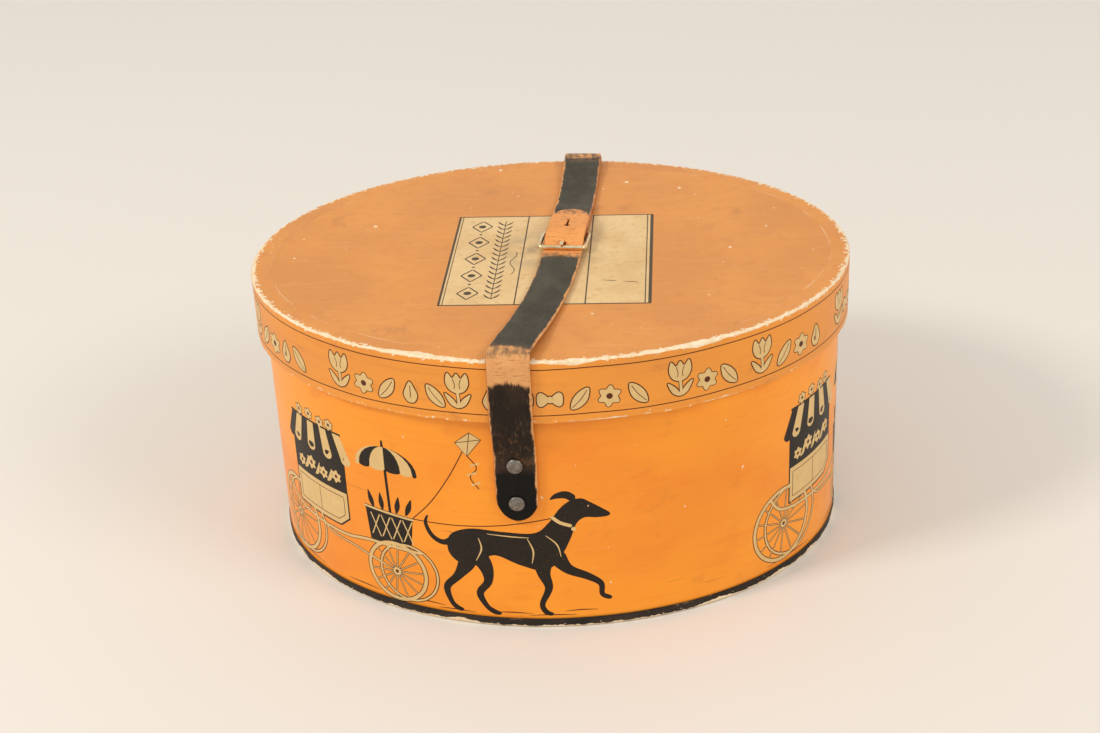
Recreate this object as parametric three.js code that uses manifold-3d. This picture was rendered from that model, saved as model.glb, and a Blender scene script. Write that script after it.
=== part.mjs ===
// Oval hat box: a paper-covered board base with a lift-off lid, closed by a leather
// strap that is riveted to the front and back walls and buckled on top of the lid.
// Millimetres, +Z up. Origin: centre of the footprint on the surface the box stands on.
// +X runs along the length of the oval, and -Y is the front.

import * as THREE from 'three';
import { mergeVertices } from 'three/addons/utils/BufferGeometryUtils.js';
import Module from 'manifold-3d';

const wasm = await Module();
wasm.setup();

// ---------------------------------------------------------------- driving dimensions

const LID_HALF_LENGTH = 171.5;
const LID_HALF_WIDTH = 140.8;
const LID_TOP_Z = 167.7;
const SKIRT_DEPTH = 35.6;
const WALL_INSET = 5.06; // base wall's outer face, in from the lid's outer face

const PAPER = 0.4;
const BOARD = 2.2; // rolled wall board of the base and of the lid's band
const DISC_BOARD = 3.0; // flat ovals of the floor and of the lid's top
const GAP = 0.3; // between glued layers and between touching pieces

const TURN_OVER = 11; // band paper turned onto the lid's top
const TURN_IN = 9; // papers turned up inside the lid's band and into the base
const TAPE_HEIGHT = 6.2;
const TAPE_UNDER = 9; // edge tape turned under the floor

const STRAP_WIDTH = 23;
const LEATHER = 2.4;
const SKIVED = 1.5; // leather thinned where it folds round the buckle
const FOOT_BOTTOM_Z = 71;
const FOOT_TOP_Z = 112.7;
const FRONT_STRAP_X = -17.3; // where the strap crosses the lid's front edge
const REAR_STRAP_X = 18.6;
const LEG_ON_WALL = 3.5; // strap centreline, in from the lid's outer face
const LEG_ON_SKIRT = -1.6;
const LID_STAND_OFF = 3.0; // gap under the strap where it turns over the lid's edge

// Holes punched in the front strap: y of the middle, length along the strap and width.
const WORN_HOLE = { y: -15.5, length: 3, width: 3 };
const TONGUE_HOLE = { y: -1.2, length: 12, width: 3.6 };
const SPARE_HOLE = { y: 17, length: 5, width: 3 };

const RIVET_HEIGHTS = { lower: 82, upper: 105 };
const RIVET_CAP_RADIUS = 4.4;
const RIVET_CAP_HEIGHT = 1.9;
const SHANK_RADIUS = 1.6;
const PEEN_RADIUS = 2.6;
const BURR_RADIUS = 4.2;
const BURR_THICKNESS = 0.8;

const HEEL_BAR = new THREE.Vector3(10.0, 14, 170.9);
const HEEL_BAR_WIDTH = 2.2;
const TIP_BAR_WIDTH = 2.6;
const FRAME_REACH = 22.4; // heel bar's centre to tip bar's centre
const FRAME_WIDTH = 29;
const FRAME_SIDE = 2.3;
const FRAME_THICKNESS = 2.2;
const FRAME_TILT = Math.asin(1.5 / FRAME_REACH);
const BUCKLE_HEADING = THREE.MathUtils.degToRad(6.3);
const TONGUE_WIDTH = 2.4;
const TONGUE_SLOT_LENGTH = 9.5; // slot in the fold that the tongue turns in
const TONGUE_SLOT_CLEARANCE = 0.9; // on each side
const SKIVE_START_Y = 34; // the rear strap thins from here to the fold
const SKIVE_END_Y = 18;
const FOLD_TAIL = 34; // from the heel bar back to the end of the folded leather

const OVAL_SEGMENTS = 64;
const HOLE_SEGMENTS = 16;

// Levels and insets that follow from them.
const topPaperUnder = LID_TOP_Z - PAPER;
const topBoardTop = topPaperUnder - GAP;
const topBoardUnder = topBoardTop - DISC_BOARD;
const topLinerTop = topBoardUnder - GAP;
const topLinerUnder = topLinerTop - PAPER;
const skirtBottom = LID_TOP_Z - SKIRT_DEPTH;
const bandInset = PAPER + GAP;
const bandInnerInset = bandInset + BOARD;
const bandLinerInset = bandInnerInset + GAP;
const bandLinerInner = bandLinerInset + PAPER;

const rimTop = topLinerUnder - GAP;
const floorBoardBottom = PAPER + GAP;
const floorBoardTop = floorBoardBottom + DISC_BOARD;
const wallBoardInset = WALL_INSET + PAPER + GAP;
const wallBoardInner = wallBoardInset + BOARD;
const wallLinerInset = wallBoardInner + GAP;
const wallLinerInner = wallLinerInset + PAPER;
const tapeInset = WALL_INSET - GAP - PAPER;
const tapeUnderInset = tapeInset + TAPE_UNDER;

// ---------------------------------------------------------------- materials

const finish = (color, roughness, metalness = 0) =>
  new THREE.MeshStandardMaterial({ color, roughness, metalness });

const boardGrey = finish(0xb9a88a, 0.95);
const orangePaper = finish(0xf0913a, 0.6);
const fadedPaper = finish(0xdd9656, 0.7);
const plainPaper = finish(0xe6d9bd, 0.9);
const blackTape = finish(0x2b241d, 0.75);
const blackLeather = finish(0x2a241e, 0.6);
const tanLeather = finish(0xd9a266, 0.7);
const steel = finish(0x8d9096, 0.35, 1);
const brass = finish(0xc9a765, 0.3, 1);

// ---------------------------------------------------------------- helpers

const model = new THREE.Group();

function addNode(parent, name, geometry, material) {
  const mesh = new THREE.Mesh(geometry, material);
  mesh.name = name;
  parent.add(mesh);
  return mesh;
}

// A closed ring swept round the oval. The profile is a list of [inset, z] corners, where
// inset is the distance in from the lid's outer face.
function ovalRing(profile) {
  const closed = [...profile, profile[0]];
  const points = closed.map(([inset, z]) => new THREE.Vector2(LID_HALF_LENGTH - inset, z));
  const ring = new THREE.LatheGeometry(points, OVAL_SEGMENTS);
  ring.rotateX(Math.PI / 2);
  const narrowing = LID_HALF_LENGTH - LID_HALF_WIDTH;
  const position = ring.attributes.position;
  for (let i = 0; i < position.count; i++) {
    const radius = Math.hypot(position.getX(i), position.getY(i));
    position.setY(i, (position.getY(i) * (radius - narrowing)) / radius);
  }
  return ring;
}

// A plain band of the oval: a straight wall between two insets and two levels.
function ovalBand(outerInset, innerInset, bottom, top) {
  return ovalRing([
    [outerInset, bottom],
    [outerInset, top],
    [innerInset, top],
    [innerInset, bottom],
  ]);
}

// A flat oval sheet.
function ovalDisc(inset, bottom, top) {
  const shape = new THREE.Shape();
  shape.absellipse(0, 0, LID_HALF_LENGTH - inset, LID_HALF_WIDTH - inset, 0, 2 * Math.PI);
  const disc = new THREE.ExtrudeGeometry(shape, {
    depth: top - bottom,
    bevelEnabled: false,
    curveSegments: OVAL_SEGMENTS / 2,
  });
  return disc.translate(0, 0, bottom);
}

function toSolid(geometry) {
  const plain = geometry.clone();
  plain.deleteAttribute('normal');
  plain.deleteAttribute('uv');
  const merged = mergeVertices(plain, 1e-4);
  return new wasm.Manifold(
    new wasm.Mesh({
      numProp: 3,
      vertProperties: new Float32Array(merged.attributes.position.array),
      triVerts: new Uint32Array(merged.index.array),
    }),
  );
}

function toGeometry(solid) {
  const mesh = solid.getMesh();
  const geometry = new THREE.BufferGeometry();
  geometry.setAttribute('position', new THREE.BufferAttribute(mesh.vertProperties, 3));
  geometry.setIndex(new THREE.BufferAttribute(mesh.triVerts, 1));
  return geometry;
}

// The geometry with each cutter taken out of it.
function cut(geometry, cutters) {
  return toGeometry(cutters.reduce((solid, cutter) => solid.subtract(toSolid(cutter)), toSolid(geometry)));
}

// ---------------------------------------------------------------- strap anchors

// The strap's anchor on one side of the box: a frame whose origin is below the point where
// the strap crosses the lid's edge, with +Y pointing straight in through the wall.
function anchorFrame(x, side) {
  const y = side * LID_HALF_WIDTH * Math.sqrt(1 - (x / LID_HALF_LENGTH) ** 2);
  const normalX = x / LID_HALF_LENGTH ** 2;
  const normalY = y / LID_HALF_WIDTH ** 2;
  const frame = new THREE.Group();
  frame.position.set(x, y, 0);
  frame.rotation.z = Math.atan2(normalX, -normalY);
  frame.updateMatrixWorld();
  return frame;
}

const frontAnchor = anchorFrame(FRONT_STRAP_X, -1);
const rearAnchor = anchorFrame(REAR_STRAP_X, 1);
model.add(frontAnchor, rearAnchor);

// Clearance holes for the two rivets of one anchor, through leather, papers and board.
function rivetHoles(anchor) {
  const radius = SHANK_RADIUS + GAP;
  const reach = 30; // well past the strap and the wall on both sides
  return Object.values(RIVET_HEIGHTS).map((z) => {
    const hole = new THREE.CylinderGeometry(radius, radius, reach, HOLE_SEGMENTS);
    return hole.translate(0, WALL_INSET, z).applyMatrix4(anchor.matrixWorld);
  });
}

const allRivetHoles = [...rivetHoles(frontAnchor), ...rivetHoles(rearAnchor)];

// ---------------------------------------------------------------- base

function buildBase() {
  addNode(model, 'base_bottom_paper', ovalDisc(tapeUnderInset + GAP, 0, PAPER), plainPaper);
  addNode(model, 'base_floor_board', ovalDisc(wallLinerInset, floorBoardBottom, floorBoardTop), boardGrey);
  const floorLinerBottom = floorBoardTop + GAP;
  const floorLiner = ovalDisc(wallLinerInner + GAP, floorLinerBottom, floorLinerBottom + PAPER);
  addNode(model, 'base_floor_liner', floorLiner, plainPaper);

  const wallBoard = ovalBand(wallBoardInset, wallBoardInner, floorBoardBottom, rimTop - PAPER - GAP);
  addNode(model, 'base_wall_board', cut(wallBoard, allRivetHoles), boardGrey);

  // The printed paper covers the wall, turns over the rim and runs a little way down inside.
  const turnInBottom = rimTop - TURN_IN;
  const wallPaper = ovalRing([
    [WALL_INSET, floorBoardBottom],
    [WALL_INSET, rimTop],
    [wallLinerInner, rimTop],
    [wallLinerInner, turnInBottom],
    [wallLinerInset, turnInBottom],
    [wallLinerInset, rimTop - PAPER],
    [WALL_INSET + PAPER, rimTop - PAPER],
    [WALL_INSET + PAPER, floorBoardBottom],
  ]);
  addNode(model, 'base_wall_paper', cut(wallPaper, allRivetHoles), orangePaper);

  const wallLiner = ovalBand(wallLinerInset, wallLinerInner, floorLinerBottom, turnInBottom - GAP);
  addNode(model, 'base_wall_liner', cut(wallLiner, allRivetHoles), plainPaper);

  // Black edge tape, folded round the bottom corner.
  const tape = ovalRing([
    [tapeInset, PAPER / 4],
    [tapeInset, TAPE_HEIGHT],
    [tapeInset + PAPER, TAPE_HEIGHT],
    [tapeInset + PAPER, PAPER],
    [tapeUnderInset, PAPER],
    [tapeUnderInset, PAPER / 4],
  ]);
  addNode(model, 'base_edge_tape', tape, blackTape);
}

// ---------------------------------------------------------------- lid

function buildLid() {
  addNode(model, 'lid_top_board', ovalDisc(bandLinerInset, topBoardUnder, topBoardTop), boardGrey);
  addNode(model, 'lid_top_paper', ovalDisc(TURN_OVER + GAP, topPaperUnder, LID_TOP_Z), fadedPaper);
  addNode(model, 'lid_top_liner', ovalDisc(bandLinerInner + GAP, topLinerUnder, topLinerTop), plainPaper);

  const lip = skirtBottom + PAPER;
  const bandBoard = ovalBand(bandInset, bandInnerInset, lip + GAP, topBoardTop);
  addNode(model, 'lid_band_board', bandBoard, boardGrey);

  // The band's paper: turned over onto the top, and folded round the lower lip.
  const turnInTop = skirtBottom + TURN_IN;
  const bandPaper = ovalRing([
    [0, skirtBottom],
    [0, LID_TOP_Z],
    [TURN_OVER, LID_TOP_Z],
    [TURN_OVER, topPaperUnder],
    [PAPER, topPaperUnder],
    [PAPER, lip],
    [bandLinerInset, lip],
    [bandLinerInset, turnInTop],
    [bandLinerInner, turnInTop],
    [bandLinerInner, skirtBottom],
  ]);
  addNode(model, 'lid_band_paper', bandPaper, orangePaper);

  const bandLiner = ovalBand(bandLinerInset, bandLinerInner, turnInTop + GAP, topLinerTop);
  addNode(model, 'lid_band_liner', bandLiner, plainPaper);
}

// ---------------------------------------------------------------- straps

// A strap's route: hand-set stations { at: Vector3, turn }, where turn is the heading of the
// strap, in degrees from +Y towards +X, which sets the direction across its width. Places
// on the route are given in stations: 2.5 is halfway from station 2 to station 3.
function strapRoute(stations) {
  const curve = new THREE.CatmullRomCurve3(stations.map((station) => station.at), false, 'centripetal');
  const last = stations.length - 1;
  const perStation = 100;
  const lengths = curve.getLengths(last * perStation);
  const sample = (place) => {
    const point = curve.getPoint(place / last);
    const tangent = curve.getTangent(place / last);
    const before = Math.min(Math.floor(place), last - 1);
    const turn = THREE.MathUtils.lerp(stations[before].turn, stations[before + 1].turn, place - before);
    const heading = THREE.MathUtils.degToRad(turn);
    const across = new THREE.Vector3(Math.cos(heading), -Math.sin(heading), 0);
    across.addScaledVector(tangent, -across.dot(tangent)).normalize();
    return { point, across, normal: across.clone().cross(tangent) };
  };
  const lengthAt = (place) => lengths[Math.round(place * perStation)];
  // The first place, from start on, whose point passes the test.
  const find = (test, start = 0) => {
    for (let place = start; place < last; place += 1 / perStation) {
      if (test(sample(place).point)) return place;
    }
    return last;
  };
  return { last, sample, lengthAt, find };
}

// One stretch of leather along a route, with rows of corners at each station and between.
// thicknessAt and halfWidthAt take a place on the route.
function leather(route, from, to, rowsPerStation, thicknessAt, halfWidthAt) {
  const rows = Math.ceil((to - from) * rowsPerStation);
  const strip = new THREE.BoxGeometry(2, 1, 1, 1, rows, 1);
  const position = strip.attributes.position;
  for (let i = 0; i < position.count; i++) {
    const place = from + (to - from) * (position.getY(i) + 0.5);
    const { point, across, normal } = route.sample(place);
    point.addScaledVector(across, position.getX(i) * halfWidthAt(place));
    point.addScaledVector(normal, position.getZ(i) * thicknessAt(place));
    position.setXYZ(i, point.x, point.y, point.z);
  }
  return strip;
}

const HALF_WIDTH = STRAP_WIDTH / 2;
const END_HALF_WIDTH = 3; // half the flat left at a rounded end
const FOOT_ROUNDING = 8;
const BILLET_ROUNDING = 13;
const BILLET_START_Y = -11.5;

// Half-width of a strap end that rounds off: distance is measured from the very end.
function roundedEnd(distance, rounding) {
  const along = Math.min(distance / rounding, 1);
  return END_HALF_WIDTH + (HALF_WIDTH - END_HALF_WIDTH) * Math.sqrt(1 - (1 - along) ** 2);
}

const overLid = LID_TOP_Z + LEATHER / 2; // centreline of leather lying right on the lid
const bendRadius = LID_STAND_OFF + LEATHER / 2 + 0.4;

// The stations from the foot up to the top of the bend over the lid's edge.
function legStations(anchor, turn) {
  const bendZ = overLid + LID_STAND_OFF - bendRadius;
  const bendIn = LEG_ON_SKIRT + bendRadius;
  const slant = bendRadius * Math.SQRT1_2;
  const heights = [
    [LEG_ON_WALL, FOOT_BOTTOM_Z],
    [LEG_ON_WALL, (FOOT_BOTTOM_Z + FOOT_TOP_Z) / 2],
    [LEG_ON_WALL, FOOT_TOP_Z + 1.3],
    [LEG_ON_WALL - 1.8, 121.5],
    [LEG_ON_SKIRT, 130],
    [LEG_ON_SKIRT, 146],
    [LEG_ON_SKIRT, bendZ - 4],
    [LEG_ON_SKIRT, bendZ],
    [bendIn - slant, bendZ + slant],
    [bendIn, bendZ + bendRadius],
  ];
  return heights.map(([inward, z]) => {
    const at = new THREE.Vector3(0, inward, z).applyMatrix4(anchor.matrixWorld);
    return { at, turn };
  });
}

// Stations over the lid: [x, y, height of the centreline above overLid, heading].
const overLidStation = ([x, y, rise, turn]) => ({
  at: new THREE.Vector3(x, y, overLid + rise),
  turn,
});

const FRONT_RUN = [
  [-15.6, -131.0, 3.0, 11],
  [-13.5, -123.0, 2.9, 14],
  [-11.4, -115.0, 2.3, 14.5],
  [-6.5, -95.0, 0.8, 13.5],
  [-2.4, -77.5, 0.5, 12],
  [2.9, -50.0, 0.5, 10],
  [6.2, -25.0, 0.5, 8],
  [7.9, -8.4, 0.6, 6.8],
  [8.3, -5.0, 1.2, 6.6],
  [8.6, -1.5, 3.1, 6.5],
  [9.1, 3.0, 5.3, 6.4],
  [9.7, 8.0, 6.5, 6.3],
  [10.4, 14.0, 6.8, 6.2],
  [11.6, 26.0, 6.3, 6],
  [12.3, 33.0, 6.0, 5.9],
  [12.9, 39.8, 5.7, 5.8],
];

const REAR_RUN = [
  [18.2, 131.0, 3.0, 4.5],
  [17.9, 123.0, 2.9, 4],
  [17.6, 115.0, 2.3, 4],
  [16.6, 95.0, 0.8, 4],
  [15.5, 77.0, 0.5, 4.5],
  [14.5, 62.0, 0.7, 5],
  [13.5, 50.0, 2.1, 5.5],
  [12.3, 36.0, 2.2, 6],
  [11.1, 24.0, 2.6, 6.3],
];

// The rear strap ends in a fold that runs forward round the heel bar and back underneath.
function foldStations() {
  const radius = HEEL_BAR_WIDTH / 2 + GAP + SKIVED / 2;
  const turn = THREE.MathUtils.radToDeg(BUCKLE_HEADING);
  const backward = new THREE.Vector3(Math.sin(BUCKLE_HEADING), Math.cos(BUCKLE_HEADING), 0);
  const place = (along, up) => ({
    at: HEEL_BAR.clone().addScaledVector(backward, along).add(new THREE.Vector3(0, 0, up)),
    turn,
  });
  const arc = [];
  for (let step = 0; step <= 6; step++) {
    const angle = (Math.PI * step) / 6;
    arc.push(place(-radius * Math.sin(angle), radius * Math.cos(angle)));
  }
  return [place(5, radius - 0.2), ...arc, place(10, -radius), place(FOLD_TAIL, -radius)];
}

const frontTurn = THREE.MathUtils.radToDeg(-frontAnchor.rotation.z);
const rearTurn = THREE.MathUtils.radToDeg(Math.PI - rearAnchor.rotation.z);

const frontRoute = strapRoute([...legStations(frontAnchor, frontTurn), ...FRONT_RUN.map(overLidStation)]);

// The rear route runs the other way, so its width direction is turned half round.
const halfTurned = ({ at, turn }) => ({ at, turn: turn + 180 });
const rearRoute = strapRoute(
  [...legStations(rearAnchor, rearTurn), ...REAR_RUN.map(overLidStation), ...foldStations()].map(halfTurned),
);

// A punch that cuts a hole through the strap where it runs over the lid.
function holePunch(route, { y, length, width }) {
  const at = route.sample(route.find((point) => point.y > y)).point;
  const hole = new THREE.CylinderGeometry(width / 2, width / 2, 12, HOLE_SEGMENTS).rotateX(Math.PI / 2);
  const stretched = hole.scale(1, length / width, 1);
  return stretched.rotateZ(-BUCKLE_HEADING).translate(at.x, at.y, at.z);
}

function buildFrontStrap() {
  const route = frontRoute;
  const evenThickness = () => LEATHER;
  const footTop = route.find((point) => point.z > FOOT_TOP_Z);
  const armStart = route.find((point) => point.z > FOOT_TOP_Z + GAP);
  const armEnd = route.find((point) => point.y > BILLET_START_Y - GAP);
  const billetStart = route.find((point) => point.y > BILLET_START_Y);

  const footHalf = (place) => roundedEnd(route.lengthAt(place), FOOT_ROUNDING);
  const foot = leather(route, 0, footTop, 14, evenThickness, footHalf);
  addNode(model, 'front_strap_foot', cut(foot, rivetHoles(frontAnchor)), blackLeather);

  const arm = leather(route, armStart, armEnd, 3, evenThickness, () => HALF_WIDTH);
  addNode(model, 'front_strap', cut(arm, [holePunch(route, WORN_HOLE)]), blackLeather);

  const billetHalf = (place) =>
    roundedEnd(route.lengthAt(route.last) - route.lengthAt(place), BILLET_ROUNDING);
  const billet = leather(route, billetStart, route.last, 6, evenThickness, billetHalf);
  const punches = [holePunch(route, TONGUE_HOLE), holePunch(route, SPARE_HOLE)];
  addNode(model, 'front_strap_billet', cut(billet, punches), tanLeather);
}

function buildRearStrap() {
  const route = rearRoute;
  const footTop = route.find((point) => point.z > FOOT_TOP_Z);
  const armStart = route.find((point) => point.z > FOOT_TOP_Z + GAP);
  const overLidStart = route.find((point) => point.y < REAR_RUN[3][1]);
  const skiveStart = route.find((point) => point.y < SKIVE_START_Y, overLidStart);
  const skiveEnd = route.find((point) => point.y < SKIVE_END_Y, overLidStart);

  const footHalf = (place) => roundedEnd(route.lengthAt(place), FOOT_ROUNDING);
  const foot = leather(route, 0, footTop, 14, () => LEATHER, footHalf);
  addNode(model, 'rear_strap_foot', cut(foot, rivetHoles(rearAnchor)), blackLeather);

  const { clamp, mapLinear } = THREE.MathUtils;
  const skive = (place) =>
    mapLinear(clamp(place, skiveStart, skiveEnd), skiveStart, skiveEnd, LEATHER, SKIVED);
  const arm = leather(route, armStart, route.last, 3, skive, () => HALF_WIDTH);
  const slotWidth = TONGUE_WIDTH + 2 * TONGUE_SLOT_CLEARANCE;
  const slot = new THREE.BoxGeometry(slotWidth, TONGUE_SLOT_LENGTH, 8).rotateZ(-BUCKLE_HEADING);
  slot.translate(HEEL_BAR.x, HEEL_BAR.y, HEEL_BAR.z);
  addNode(model, 'rear_strap', cut(arm, [slot]), blackLeather);
}

// ---------------------------------------------------------------- rivets

// Domed rivet along +Y: cap outside the leather, shank through the wall, peened end inside.
function rivetGeometry() {
  const capBase = LEG_ON_WALL - LEATHER / 2 - GAP;
  const capTop = capBase - RIVET_CAP_HEIGHT;
  const peenStart = wallLinerInner + GAP + BURR_THICKNESS + GAP;
  const points = [new THREE.Vector2(0, capTop)];
  for (let step = 1; step <= 4; step++) {
    const angle = ((Math.PI / 2) * step) / 4;
    const height = capTop + RIVET_CAP_HEIGHT * 0.8 * (1 - Math.cos(angle));
    points.push(new THREE.Vector2(RIVET_CAP_RADIUS * Math.sin(angle), height));
  }
  points.push(
    new THREE.Vector2(RIVET_CAP_RADIUS, capBase),
    new THREE.Vector2(SHANK_RADIUS, capBase),
    new THREE.Vector2(SHANK_RADIUS, peenStart),
    new THREE.Vector2(PEEN_RADIUS, peenStart),
    new THREE.Vector2(PEEN_RADIUS * 0.7, peenStart + 0.6),
    new THREE.Vector2(0, peenStart + 0.7),
  );
  return new THREE.LatheGeometry(points, HOLE_SEGMENTS);
}

function burrGeometry() {
  const start = wallLinerInner + GAP;
  const end = start + BURR_THICKNESS;
  const inner = SHANK_RADIUS + GAP;
  const points = [
    new THREE.Vector2(inner, start),
    new THREE.Vector2(BURR_RADIUS, start),
    new THREE.Vector2(BURR_RADIUS, end),
    new THREE.Vector2(inner, end),
    new THREE.Vector2(inner, start),
  ];
  return new THREE.LatheGeometry(points, HOLE_SEGMENTS);
}

function buildRivets() {
  for (const [side, anchor] of [['front', frontAnchor], ['rear', rearAnchor]]) {
    for (const [place, z] of Object.entries(RIVET_HEIGHTS)) {
      const rivet = addNode(anchor, `${side}_${place}_rivet`, rivetGeometry(), steel);
      const burr = addNode(anchor, `${side}_${place}_burr`, burrGeometry(), steel);
      rivet.position.z = z;
      burr.position.z = z;
    }
  }
}

// ---------------------------------------------------------------- buckle

// Frame and tongue are made in a frame of their own: origin on the heel bar's axis, -Y
// towards the tip bar, +Z up.
const buckle = new THREE.Group();
buckle.position.copy(HEEL_BAR);
buckle.rotation.set(-FRAME_TILT, 0, -BUCKLE_HEADING, 'ZYX');
model.add(buckle);

function roundedRectangle(path, left, right, bottom, top, radius) {
  path.moveTo(left + radius, bottom);
  path.lineTo(right - radius, bottom);
  path.absarc(right - radius, bottom + radius, radius, -Math.PI / 2, 0);
  path.lineTo(right, top - radius);
  path.absarc(right - radius, top - radius, radius, 0, Math.PI / 2);
  path.lineTo(left + radius, top);
  path.absarc(left + radius, top - radius, radius, Math.PI / 2, Math.PI);
  path.lineTo(left, bottom + radius);
  path.absarc(left + radius, bottom + radius, radius, Math.PI, 1.5 * Math.PI);
  return path;
}

function buildBuckleFrame() {
  const bevel = 0.6;
  const half = FRAME_WIDTH / 2;
  const heelEdge = HEEL_BAR_WIDTH / 2;
  const tipEdge = -FRAME_REACH - TIP_BAR_WIDTH / 2;
  const outline = roundedRectangle(
    new THREE.Shape(), -half + bevel, half - bevel, tipEdge + bevel, heelEdge - bevel, 2);
  const inner = half - FRAME_SIDE + bevel;
  const innerTip = -FRAME_REACH + TIP_BAR_WIDTH / 2 - bevel;
  const innerHeel = -heelEdge + bevel;
  outline.holes.push(roundedRectangle(new THREE.Path(), -inner, inner, innerTip, innerHeel, 1.2));
  const frame = new THREE.ExtrudeGeometry(outline, {
    depth: FRAME_THICKNESS - 2 * bevel,
    bevelThickness: bevel,
    bevelSize: bevel,
    bevelSegments: 2,
    curveSegments: 4,
  });
  frame.translate(0, 0, bevel - FRAME_THICKNESS / 2);
  addNode(buckle, 'buckle_frame', frame, brass);
}

// The tongue's side view, with reach along +X and height along +Y: an eye round the heel
// bar and an arm that rises through the strap to rest on the tip bar.
function buildBuckleTongue() {
  const eyeHole = HEEL_BAR_WIDTH / 2 + GAP;
  const eyeRadius = eyeHole + 1.1;
  const halfArm = 0.9;
  const restHeight = FRAME_THICKNESS / 2 + GAP; // underside where it rests on the tip bar
  const riseStart = 12;
  const riseEnd = 19.5;
  const tip = FRAME_REACH + 2.4;
  const startAngle = Math.asin(halfArm / eyeRadius);
  const side = new THREE.Shape();
  side.absarc(0, 0, eyeRadius, startAngle, 2 * Math.PI - startAngle);
  side.lineTo(riseStart, -halfArm);
  side.lineTo(riseEnd, restHeight);
  side.lineTo(tip - 0.8, restHeight);
  side.lineTo(tip, restHeight + 0.7);
  side.lineTo(tip - 0.6, restHeight + 1.5);
  side.lineTo(riseEnd, restHeight + 2 * halfArm);
  side.lineTo(riseStart, halfArm);
  side.closePath();
  const eye = new THREE.Path();
  eye.absarc(0, 0, eyeHole, 0, 2 * Math.PI, true);
  side.holes.push(eye);
  const tongue = new THREE.ExtrudeGeometry(side, {
    depth: TONGUE_WIDTH,
    bevelEnabled: false,
    curveSegments: 10,
  });
  // Reach onto -Y, height onto +Z, thickness across X.
  tongue.translate(0, 0, -TONGUE_WIDTH / 2).rotateX(Math.PI / 2).rotateZ(-Math.PI / 2);
  addNode(buckle, 'buckle_tongue', tongue, brass);
}

buildBase();
buildLid();
buildFrontStrap();
buildRearStrap();
buildRivets();
buildBuckleFrame();
buildBuckleTongue();

export default model;
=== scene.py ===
"""Looks of an oval hat box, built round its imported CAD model.

Lengths are in millimetres until a mesh is handed to Blender, which works in metres.
A place round the oval is the distance along its outline from the middle of the front,
counted towards +X.
"""

import math

import bmesh
import bpy
import numpy as np
from mathutils import Matrix, Vector, noise
from mathutils.geometry import delaunay_2d_cdt


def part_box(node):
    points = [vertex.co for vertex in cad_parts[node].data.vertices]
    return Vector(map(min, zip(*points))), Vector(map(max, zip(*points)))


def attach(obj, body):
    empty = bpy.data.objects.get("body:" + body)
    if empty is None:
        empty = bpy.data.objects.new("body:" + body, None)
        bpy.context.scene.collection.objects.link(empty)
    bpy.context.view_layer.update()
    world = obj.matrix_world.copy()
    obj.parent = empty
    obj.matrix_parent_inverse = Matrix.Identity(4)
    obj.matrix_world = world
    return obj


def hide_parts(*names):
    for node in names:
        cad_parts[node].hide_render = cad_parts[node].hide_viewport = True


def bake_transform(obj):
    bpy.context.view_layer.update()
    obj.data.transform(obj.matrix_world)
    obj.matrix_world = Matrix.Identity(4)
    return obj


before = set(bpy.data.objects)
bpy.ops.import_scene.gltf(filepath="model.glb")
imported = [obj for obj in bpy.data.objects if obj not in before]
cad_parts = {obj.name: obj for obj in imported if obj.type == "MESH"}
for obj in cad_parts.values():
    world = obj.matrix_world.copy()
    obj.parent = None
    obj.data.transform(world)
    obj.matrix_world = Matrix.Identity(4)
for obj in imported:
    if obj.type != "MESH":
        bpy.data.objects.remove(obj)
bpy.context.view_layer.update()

MM = 0.001


# ------------------------------------------------------------- sizes from the frame


def box_mm(node):
    """The lower and upper corner of a CAD node's box, in millimetres."""
    low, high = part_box(node)
    return low / MM, high / MM


band_low, band_high = box_mm("lid_band_paper")
wall_high = box_mm("base_wall_paper")[1]
tape_low, tape_high = box_mm("base_edge_tape")
top_low, top_high = box_mm("lid_top_paper")
wall_liner_high = box_mm("base_wall_liner")[1]
band_liner_high = box_mm("lid_band_liner")[1]

HALF_LENGTH, HALF_WIDTH, LID_TOP = band_high
SKIRT_BOTTOM = band_low.z
WALL_INSET = HALF_LENGTH - wall_high.x
RIM_TOP = wall_high.z
TAPE_INSET = HALF_LENGTH - tape_high.x
TAPE_TOP = tape_high.z
TOP_PAPER_INSET = HALF_LENGTH - top_high.x
GAP = 0.3  # between touching pieces
PAPER = top_high.z - top_low.z
SKIN = 0.12  # printed face of the paper, which chips off the paler core
RING_COUNT = 960  # steps round the box


# ------------------------------------------------------------- materials


def paint(red, green, blue):
    """An 8-bit screen colour as the linear colour a socket takes."""

    def linear(value):
        value /= 255
        return value / 12.92 if value <= 0.04045 else ((value + 0.055) / 1.055) ** 2.4

    return (linear(red), linear(green), linear(blue), 1.0)


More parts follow.
